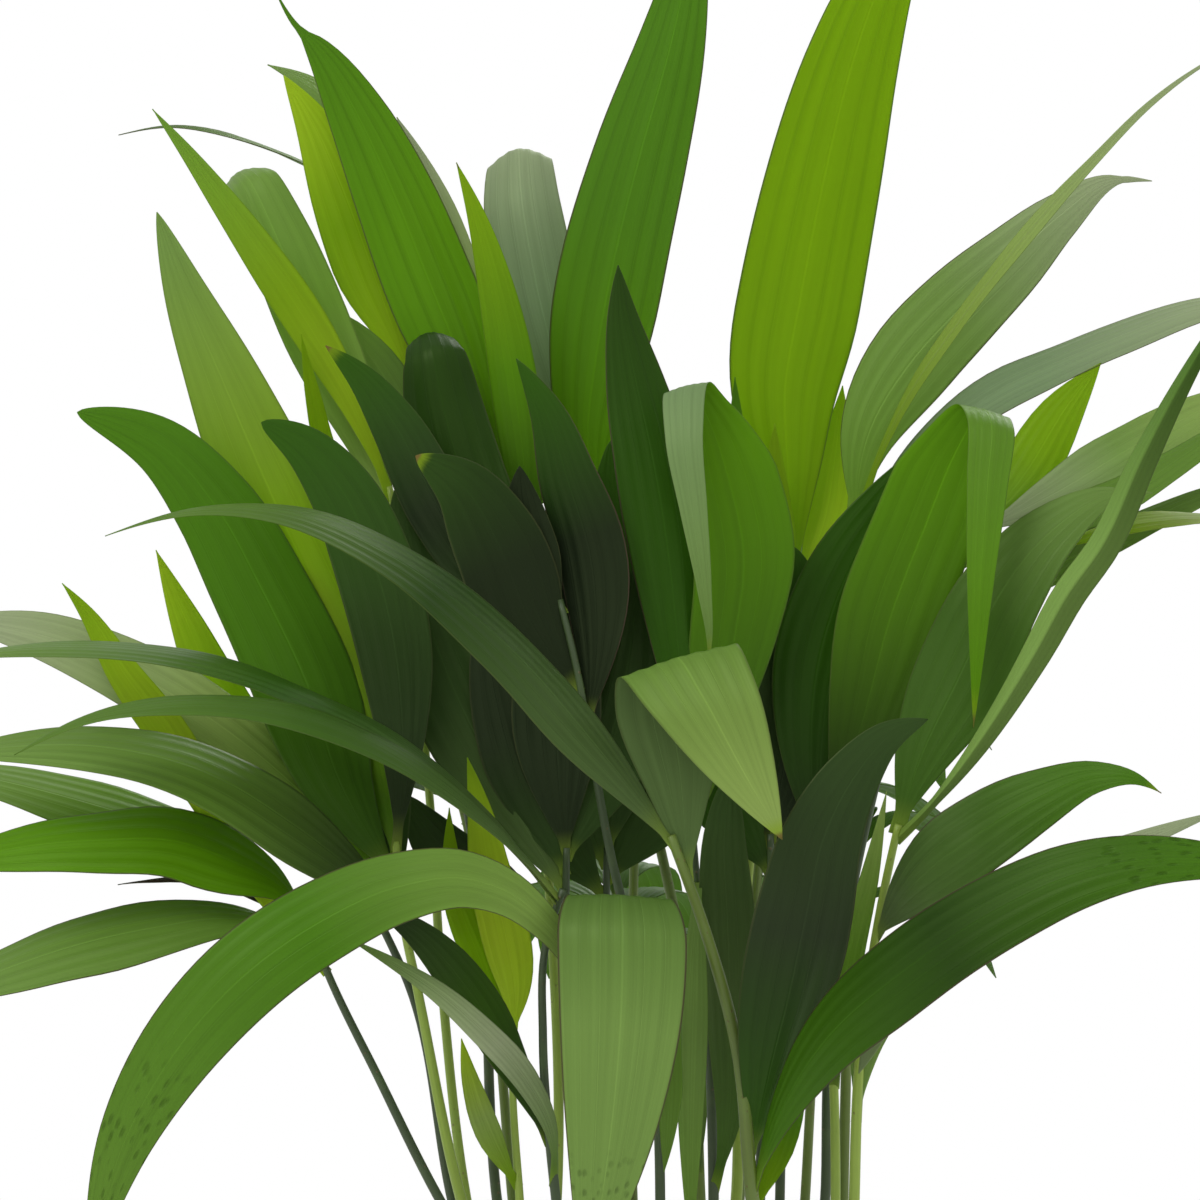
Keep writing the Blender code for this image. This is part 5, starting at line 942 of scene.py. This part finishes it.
def add_stalk(bm, layers, colour, line, radii):
    """A stalk: a closed prism bent along its stations, with a shallow channel on its upper side."""
    rings = len(line) - 1
    start = len(bm.verts)
    first_edge = len(bm.edges)
    first_face = len(bm.faces)
    bmesh.ops.create_cone(bm, cap_ends=True, segments=STALK_SIDES, radius1=1.0, radius2=1.0, depth=1.0)
    bm.edges.ensure_lookup_table()
    upright = [e for e in bm.edges[first_edge:] if abs(e.verts[0].co.z - e.verts[1].co.z) > 0.5]
    bmesh.ops.subdivide_edges(bm, edges=upright, cuts=rings - 1)
    bm.verts.ensure_lookup_table()
    tangents, normals = station_frames(line, FACING, 0.0, 0.0)
    for vert in bm.verts[start:]:
        ring = round((vert.co.z + 0.5) * rings)
        side = np.cross(normals[ring], tangents[ring])
        around = math.atan2(vert.co.x, -vert.co.y) / math.pi
        channel = 1.0 - 0.22 * math.exp(-((abs(around) / 0.2) ** 2))
        spot = line[ring] + (side * vert.co.x + normals[ring] * vert.co.y) * radii[ring] * channel
        vert.co = spot * CM
        vert[layers.blade] = (around, ring / rings, 0.0)
        vert[layers.colour] = (*colour, 0.0)
    bm.faces.ensure_lookup_table()
    for face in bm.faces[first_face:]:
        face.material_index = 1


def stalk_start(cane, slot):
    """Where a frond's stalk leaves its stem base."""
    _, x, y, bearing = next(c for c in CANES if c[0] == cane)
    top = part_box(cane)[1].z / CM
    angle = math.radians(bearing + SLOT_TURN * slot)
    out = np.array([math.cos(angle), math.sin(angle), 0.0])
    foot = np.array([x, y, top + GAP]) + out * STALK_SPREAD
    return [foot, foot + out * STALK_LEAN + np.array([0.0, 0.0, STALK_RISE])]


def finished(bm, name, *finishes):
    """The bmesh as an object on the scene, closed and facing out."""
    bmesh.ops.recalc_face_normals(bm, faces=bm.faces)
    for face in bm.faces:
        face.smooth = True
    mesh = bpy.data.meshes.new(name)
    bm.to_mesh(mesh)
    bm.free()
    obj = bpy.data.objects.new(name, mesh)
    bpy.context.scene.collection.objects.link(obj)
    for finish in finishes:
        mesh.materials.append(finish)
    return obj


def stands_for(piece, node, slot):
    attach(piece, "root")
    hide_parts(node)


def node_slot(node):
    return next(part["material_slot"] for part in frame["record"]["subparts"] if part["node"] == node)


def build_frond(number, node, cane, slot, stalk_colour, radius, route, leaflets):
    leaf = bpy.context.scene.potted_palm.leaf
    rng = np.random.default_rng(FROND_SEED + number)
    start = stalk_start(cane, slot)
    line, _, pace = smooth_route(start + [np.array(p) for p in route], STALK_RINGS, 0.0, 0.2)
    u = np.linspace(0.0, 1.0, len(line))
    radii = np.interp(u, (0.0, 0.5, 1.0), (radius, radius * STALK_MIDDLE, radius * STALK_TIP))
    radii = radii + STALK_FLARE * np.exp(-((u * pace / FLARE_LENGTH) ** 2))
    bm = bmesh.new()
    layers = Layers(bm)
    add_stalk(bm, layers, getattr(leaf, stalk_colour), line, radii)
    fine, _, _ = smooth_route(line, 200)
    for begin, path, width, roll, twist, belly, taper, fold, look, *more in leaflets:
        foot = fine[np.argmin(np.linalg.norm(fine[:-3] - np.array(begin), axis=1))]
        add_blade(bm, layers, leaf, rng, [foot, *path], width, roll, twist, belly, taper, fold, look,
                  **(more[0] if more else {}))
    finishes = once("areca_leaf", leaf_finish, leaf), once("areca_stalk", stalk_finish, leaf)
    piece = finished(bm, node.replace("frond_", "leaves_"), *finishes)
    stands_for(piece, node, node_slot(node))


def rear_frond(cane, bearing, reach, height, pairs, longest):
    """Route and leaflets of a frond that leans back over the pot's far side."""
    _, x, y, _ = next(c for c in CANES if c[0] == cane)
    angle = math.radians(bearing)
    out = np.array([math.cos(angle), math.sin(angle), 0.0])
    across = np.array([-math.sin(angle), math.cos(angle), 0.0])
    base = np.array([x, y, 0.0])
    up = np.array([0.0, 0.0, 1.0])
    marks = [(0.18, REAR_STRAIGHT), (0.42, REAR_STRAIGHT + (height - REAR_STRAIGHT) * 0.6),
             (0.72, height - 1.2), (1.0, height)]
    route = [base + out * reach * share + up * z for share, z in marks]
    leaflets = []
    for k in range(pairs):
        for hand in (-1, 1):
            share = 0.62 + 0.36 * k / max(pairs - 1, 1) + 0.02 * hand
            rise = np.interp(share, [m[0] for m in marks], [m[1] for m in marks])
            start = base + out * reach * share + up * rise
            aim = out * (0.75 + 0.25 * k) + across * hand * (0.85 - 0.2 * k)
            aim /= np.linalg.norm(aim)
            size = longest - 0.8 * k + 0.5 * hand
            path = [start + aim * size * 0.33 + up * 1.2, start + aim * size * 0.68 + up * 0.8,
                    start + aim * size + up * (-1.6 - 0.5 * k)]
            leaflets.append((start, path, REAR_WIDTH - 0.15 * k, 0, 0, 0.45, 0.8, 0.12, REAR_LOOK,
                             {"face": (0.0, 0.0, 1.0)}))
    return route, leaflets


FROND_PLACES = {
    "front": ("front_main", "front_left", "front_broad"),
    "left": ("low_left", "left_high", "left_lime", "upper_left"),
    "top": ("top_left", "top_centre_left", "top_centre", "top_right"),
    "inner": ("centre_folded", "dark_centre", "low_lime", "dark_left", "dark_mid", "dark_right", "dark_far"),
    "right": ("upper_right", "right_folded", "right_fan", "right_far"),
}


def build_fronds(place):
    """The fronds of one part of the plant."""
    for number, (node, *plan) in enumerate(FRONDS):
        if node.removeprefix("frond_") in FROND_PLACES[place]:
            build_frond(number, node, *plan)


class FrondBuilder:
    """What the frond operators share: each builds the fronds of its own part of the plant."""

    bl_options = {"REGISTER", "UNDO"}
    place = ""

    def execute(self, context):
        build_fronds(self.place)
        return {"FINISHED"}


class PALM_OT_front_fronds(FrondBuilder, bpy.types.Operator):
    """Build the fronds that arch towards the front"""

    bl_idname = "palm.front_fronds"
    bl_label = "Front Fronds"
    place = "front"


class PALM_OT_left_fronds(FrondBuilder, bpy.types.Operator):
    """Build the fronds on the left"""

    bl_idname = "palm.left_fronds"
    bl_label = "Left Fronds"
    place = "left"


class PALM_OT_right_fronds(FrondBuilder, bpy.types.Operator):
    """Build the fronds on the right"""

    bl_idname = "palm.right_fronds"
    bl_label = "Right Fronds"
    place = "right"


class PALM_OT_top_fronds(FrondBuilder, bpy.types.Operator):
    """Build the young upright fronds at the top"""

    bl_idname = "palm.top_fronds"
    bl_label = "Top Fronds"
    place = "top"


class PALM_OT_inner_fronds(FrondBuilder, bpy.types.Operator):
    """Build the fronds inside the plant, their leaves darkened as painted shade"""

    bl_idname = "palm.inner_fronds"
    bl_label = "Inner Fronds"
    place = "inner"


class PALM_OT_rear_fronds(bpy.types.Operator):
    """Build the fronds that lean back over the pot's far side"""

    bl_idname = "palm.rear_fronds"
    bl_label = "Rear Fronds"
    bl_options = {"REGISTER", "UNDO"}

    def execute(self, context):
        for number, (node, cane, slot, *sizes) in enumerate(REAR_FRONDS):
            route, leaflets = rear_frond(cane, *sizes)
            build_frond(REAR_SEED + number, node, cane, slot, *REAR_STALK, route, leaflets)
        return {"FINISHED"}


def spun(bm, profile, steps, centre=(0.0, 0.0)):
    """A profile, radius and height in centimetres, spun about an upright axis into a closed skin."""
    verts = [bm.verts.new((centre[0] * CM + r * CM, centre[1] * CM, z * CM)) for r, z in profile]
    edges = [bm.edges.new(pair) for pair in zip(verts, verts[1:])]
    axis = (centre[0] * CM, centre[1] * CM, 0.0)
    bmesh.ops.spin(bm, geom=verts + edges, cent=axis, axis=(0.0, 0.0, 1.0), angle=math.tau, steps=steps,
                   use_merge=True)
    bmesh.ops.remove_doubles(bm, verts=bm.verts, dist=0.000005)


class PALM_OT_stem_bases(bpy.types.Operator):
    """Build the stem bases, each with its leaf scars and the collar that holds its stalks"""

    bl_idname = "palm.stem_bases"
    bl_label = "Stem Bases"
    bl_options = {"REGISTER", "UNDO"}

    def execute(self, context):
        stem = context.scene.potted_palm.stem
        finish = once("stem_skin", stem_finish, stem)
        for number, (node, x, y, _) in enumerate(CANES):
            low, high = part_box(node)
            radius = (high.x - low.x) / 2 / CM
            bottom, top = low.z / CM, high.z / CM
            rng = np.random.default_rng(STEM_SEED + number)
            scars = np.sort(rng.uniform(0.16, 0.86, 3))
            near_scars = [s + np.linspace(-0.02, 0.02, 5) for s in scars]
            shares = np.unique(np.concatenate([np.linspace(0.02, 0.97, 30), *near_scars]))
            swell = np.interp(shares, (0.0, 0.1, 0.35, 0.65, 0.92, 1.0), (0.93, 1.0, 0.93, 0.88, 0.97, 0.96))
            rings = sum(np.exp(-(((shares - s) / 0.010) ** 2)) for s in scars)
            heights = bottom + (top - bottom) * shares
            outer = [(radius * (w + 0.05 * k), z) for w, k, z in zip(swell, rings, heights)]
            collar = [(radius * 0.97, top), (radius * 0.93, top + STEM_CROWN * 0.5),
                      (radius * 0.90, top + STEM_CROWN), (radius * 0.82, top + STEM_CROWN * 0.98),
                      (radius * 0.80, top + STEM_CROWN * 0.4), (radius * 0.55, top + 0.02), (0.0, top)]
            bm = bmesh.new()
            spun(bm, [(0.0, bottom), (radius * 0.88, bottom), *outer, *collar], 36, (x, y))
            layer = bm.verts.layers.float_vector.new("stem")
            for vert in bm.verts:
                share = (vert.co.z / CM - bottom) / (top - bottom)
                around = math.atan2(vert.co.y - y * CM, vert.co.x - x * CM) / math.pi
                ring = float(sum(math.exp(-(((share - s) / 0.014) ** 2)) for s in scars))
                vert[layer] = (around, share, ring)
                wobble = noise.noise(Vector((number * 7.1, around * 1.5, share * 2.0)))
                vert.co.x += (vert.co.x - x * CM) * 0.05 * wobble
                vert.co.y += (vert.co.y - y * CM) * 0.05 * wobble
            piece = finished(bm, node.replace("cane_", "stem_base_"), finish)
            stands_for(piece, node, node_slot(node))
        return {"FINISHED"}


class PALM_OT_pot(bpy.types.Operator):
    """Build the nursery pot with its rolled rim, foot groove and drain holes"""

    bl_idname = "palm.pot"
    bl_label = "Pot"
    bl_options = {"REGISTER", "UNDO"}

    def execute(self, context):
        pot = context.scene.potted_palm.pot
        low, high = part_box("pot")
        height = high.z / CM
        rim = high.x / CM - RIM_OVERHANG
        wall = pot.wall / CM
        base = rim - POT_TAPER
        top = rim - RIM_SETBACK
        step = height - RIM_DEPTH
        slope = (top - base) / step
        inner = base - wall + slope * 0.5
        profile = [(0.0, 0.5), (inner - 0.3, 0.5), (inner, 0.62)]
        profile += [(top - wall, step), (rim - wall - 0.1, height - 0.35), (rim - wall, height - 0.05)]
        profile += [(rim + 0.02 + ROLL_RADIUS * math.sin(a), height - ROLL_RADIUS + ROLL_RADIUS * math.cos(a))
                    for a in np.linspace(-1.2, 2.6, 9)]
        profile += [(rim + 0.05, height - 0.45), (rim + 0.05, step + 0.05), (rim, step), (top + 0.05, step)]
        profile += [(top, step - 0.15)]
        for rib in (0.32, 0.62):
            z = step * (1 - rib)
            r = base + slope * z
            profile += [(r, z + 0.14), (r + 0.045, z + 0.07), (r + 0.045, z - 0.07), (r, z - 0.14)]
        profile += [(base + 0.06, 0.3), (base + 0.02, 0.08), (base - 0.1, 0.0), (4.85, 0.0), (4.7, 0.3),
                    (2.6, 0.3), (2.45, 0.0), (0.0, 0.0)]
        bm = bmesh.new()
        spun(bm, profile, POT_STEPS)
        piece = finished(bm, "nursery_pot", once("pot_plastic_moulded", plastic_finish, pot))
        cutters = bmesh.new()
        for k in range(HOLES):
            angle = math.tau * (k + 0.5) / HOLES
            x, y = HOLE_REACH * CM * math.cos(angle), HOLE_REACH * CM * math.sin(angle)
            bmesh.ops.create_cone(cutters, cap_ends=True, segments=24, radius1=HOLE_RADIUS * CM,
                                  radius2=HOLE_RADIUS * CM, depth=2.0 * CM,
                                  matrix=Matrix.Translation((x, y, 0.0)))
        cutter = finished(cutters, "drain_hole_cutter")
        cut = piece.modifiers.new("Drain holes", "BOOLEAN")
        cut.operation = "DIFFERENCE"
        cut.solver = "EXACT"
        cut.object = cutter
        graph = context.evaluated_depsgraph_get()
        holed = bpy.data.meshes.new_from_object(piece.evaluated_get(graph))
        piece.modifiers.clear()
        piece.data = holed
        bpy.data.objects.remove(cutter)
        edges = piece.modifiers.new("Soft edges", "BEVEL")
        edges.width = 0.0003
        edges.segments = 2
        edges.limit_method = "ANGLE"
        edges.angle_limit = math.radians(35)
        edges.harden_normals = True
        stands_for(piece, "pot", node_slot("pot"))
        return {"FINISHED"}


class PALM_OT_soil(bpy.types.Operator):
    """Build the soil with its crumbs, bark chips and white grains"""

    bl_idname = "palm.soil"
    bl_label = "Soil"
    bl_options = {"REGISTER", "UNDO"}

    def execute(self, context):
        pot = context.scene.potted_palm.pot
        low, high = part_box("soil")
        radius, top, bottom = high.x / CM, high.z / CM, low.z / CM
        profile = [(0.0, top)]
        profile += [(radius * 0.97 * k / SOIL_RINGS, top) for k in range(1, SOIL_RINGS + 1)]
        profile += [(radius, top - 0.25), (radius - SOIL_TAPER, bottom), (0.0, bottom)]
        bm = bmesh.new()
        spun(bm, profile, SOIL_STEPS)
        crumb = bm.verts.layers.float_vector.new("crumb")
        for vert in bm.verts:
            if vert.co.z > (top - 0.1) * CM:
                lumps = noise.fractal(vert.co * 90.0, 0.7, 2.0, 4)
                vert.co.z += (0.05 * lumps - 0.03) * CM
            vert[crumb] = (0.0, 0.4, 0.0)
        rng = np.random.default_rng(CRUMB_SEED)
        for _ in range(pot.crumbs):
            kind = float(rng.choice((0.1, 0.6, 0.95), p=(0.72, 0.2, 0.08)))
            reach = radius * 0.93 * math.sqrt(rng.uniform())
            angle = rng.uniform(0.0, math.tau)
            x, y = reach * math.cos(angle), reach * math.sin(angle)
            size = rng.uniform(0.05, 0.13) * (1.5 if kind == 0.6 else 1.0)
            if any(math.hypot(x - cx, y - cy) < STEM_CLEARANCE + size for _, cx, cy, _ in CANES):
                continue
            place = Matrix.Translation(Vector((x, y, top - 0.01)) * CM)
            turn = Matrix.Rotation(rng.uniform(0.0, math.tau), 4, "Z")
            sizes = rng.uniform(0.9, 1.7), rng.uniform(0.6, 1.0), rng.uniform(0.4, 0.8)
            fitted = place @ turn @ Matrix.Diagonal((*sizes, 1.0))
            made = bmesh.ops.create_icosphere(bm, subdivisions=1, radius=size * CM, matrix=fitted)
            own = float(rng.uniform())
            for vert in made["verts"]:
                vert.co += Vector(rng.uniform(-0.2, 0.2, 3)) * size * CM
                vert[crumb] = (kind, own, 0.0)
        piece = finished(bm, "soil_bed", once("potting_soil_moist", soil_finish, pot))
        stands_for(piece, "soil", node_slot("soil"))
        return {"FINISHED"}


def add_lamp(name, place, target, size, power):
    lamp = bpy.data.lights.new(name, "AREA")
    lamp.shape = "DISK"
    lamp.size = size
    lamp.energy = power
    obj = bpy.data.objects.new(name, lamp)
    bpy.context.scene.collection.objects.link(obj)
    obj.location = place
    obj.rotation_euler = (Vector(target) - Vector(place)).to_track_quat("-Z", "Y").to_euler()
    obj.visible_camera = False


class PALM_OT_stage(bpy.types.Operator):
    """Set the floor, the white surroundings, the lamps and the camera"""

    bl_idname = "palm.stage"
    bl_label = "Stage"
    bl_options = {"REGISTER", "UNDO"}

    def execute(self, context):
        scene = context.scene
        stage = scene.potted_palm.stage
        bm = bmesh.new()
        bmesh.ops.create_circle(bm, cap_ends=True, segments=96, radius=FLOOR_RADIUS)
        floor = finished(bm, "floor", once("pale_floor", floor_finish, stage))
        floor.location.z = -0.0002

        world = bpy.data.worlds.new("white_room")
        world.use_nodes = True
        tree = world.node_tree
        tree.nodes.clear()
        path = tree.nodes.new("ShaderNodeLightPath")
        seen = tree.nodes.new("ShaderNodeMath")
        seen.operation = "MAXIMUM"
        tree.links.new(path.outputs["Is Camera Ray"], seen.inputs[0])
        tree.links.new(path.outputs["Is Transmission Ray"], seen.inputs[1])
        strength = tree.nodes.new("ShaderNodeMapRange")
        strength.inputs["To Min"].default_value = stage.daylight
        strength.inputs["To Max"].default_value = 1.0
        tree.links.new(seen.outputs[0], strength.inputs["Value"])
        background = tree.nodes.new("ShaderNodeBackground")
        background.inputs["Color"].default_value = (1.0, 1.0, 1.0, 1.0)
        tree.links.new(strength.outputs[0], background.inputs["Strength"])
        output = tree.nodes.new("ShaderNodeOutputWorld")
        tree.links.new(background.outputs[0], output.inputs["Surface"])
        scene.world = world

        add_lamp("key_lamp", KEY_PLACE, KEY_TARGET, LAMP_SIZE, stage.key)
        add_lamp("back_lamp", BACK_PLACE, BACK_TARGET, LAMP_SIZE, stage.key * BACK_SHARE)

        camera = bpy.data.cameras.new("camera")
        camera.sensor_width = 36.0
        camera.lens = camera.sensor_width * stage.distance / stage.view_width
        camera.clip_start = 0.1
        camera.clip_end = 200.0
        eye = bpy.data.objects.new("camera", camera)
        scene.collection.objects.link(eye)
        eye.location = (stage.view_x, -stage.distance, stage.view_z)
        eye.rotation_euler = (math.pi / 2, 0.0, 0.0)
        scene.camera = eye
        scene.view_settings.view_transform = "Standard"
        return {"FINISHED"}


class PALM_PT_panel(bpy.types.Panel):
    """The palm's operators and settings in the sidebar"""

    bl_idname = "PALM_PT_panel"
    bl_label = "Potted Palm"
    bl_space_type = "VIEW_3D"
    bl_region_type = "UI"
    bl_category = "Palm"

    def draw(self, context):
        column = self.layout.column()
        for operator in OPERATORS:
            column.operator(operator.bl_idname)
        palm = context.scene.potted_palm
        for group in (palm.leaf, palm.stem, palm.pot, palm.stage):
            box = self.layout.box()
            for key in group.bl_rna.properties.keys():
                if key not in {"rna_type", "name"}:
                    box.prop(group, key)


OPERATORS = (PALM_OT_pot, PALM_OT_soil, PALM_OT_stem_bases, PALM_OT_front_fronds, PALM_OT_left_fronds,
             PALM_OT_right_fronds, PALM_OT_top_fronds, PALM_OT_inner_fronds, PALM_OT_rear_fronds,
             PALM_OT_stage)
SETTINGS = (LeafSettings, StemSettings, PotSettings, StageSettings, PalmSettings)


def register():
    for kind in SETTINGS + OPERATORS + (PALM_PT_panel,):
        bpy.utils.register_class(kind)
    bpy.types.Scene.potted_palm = bpy.props.PointerProperty(type=PalmSettings)


def unregister():
    del bpy.types.Scene.potted_palm
    for kind in reversed(SETTINGS + OPERATORS + (PALM_PT_panel,)):
        bpy.utils.unregister_class(kind)


def main():
    register()
    bpy.ops.palm.pot()
    bpy.ops.palm.soil()
    bpy.ops.palm.stem_bases()
    bpy.ops.palm.front_fronds()
    bpy.ops.palm.left_fronds()
    bpy.ops.palm.right_fronds()
    bpy.ops.palm.top_fronds()
    bpy.ops.palm.inner_fronds()
    bpy.ops.palm.rear_fronds()
    bpy.ops.palm.stage()


if __name__ == "__main__":
    main()
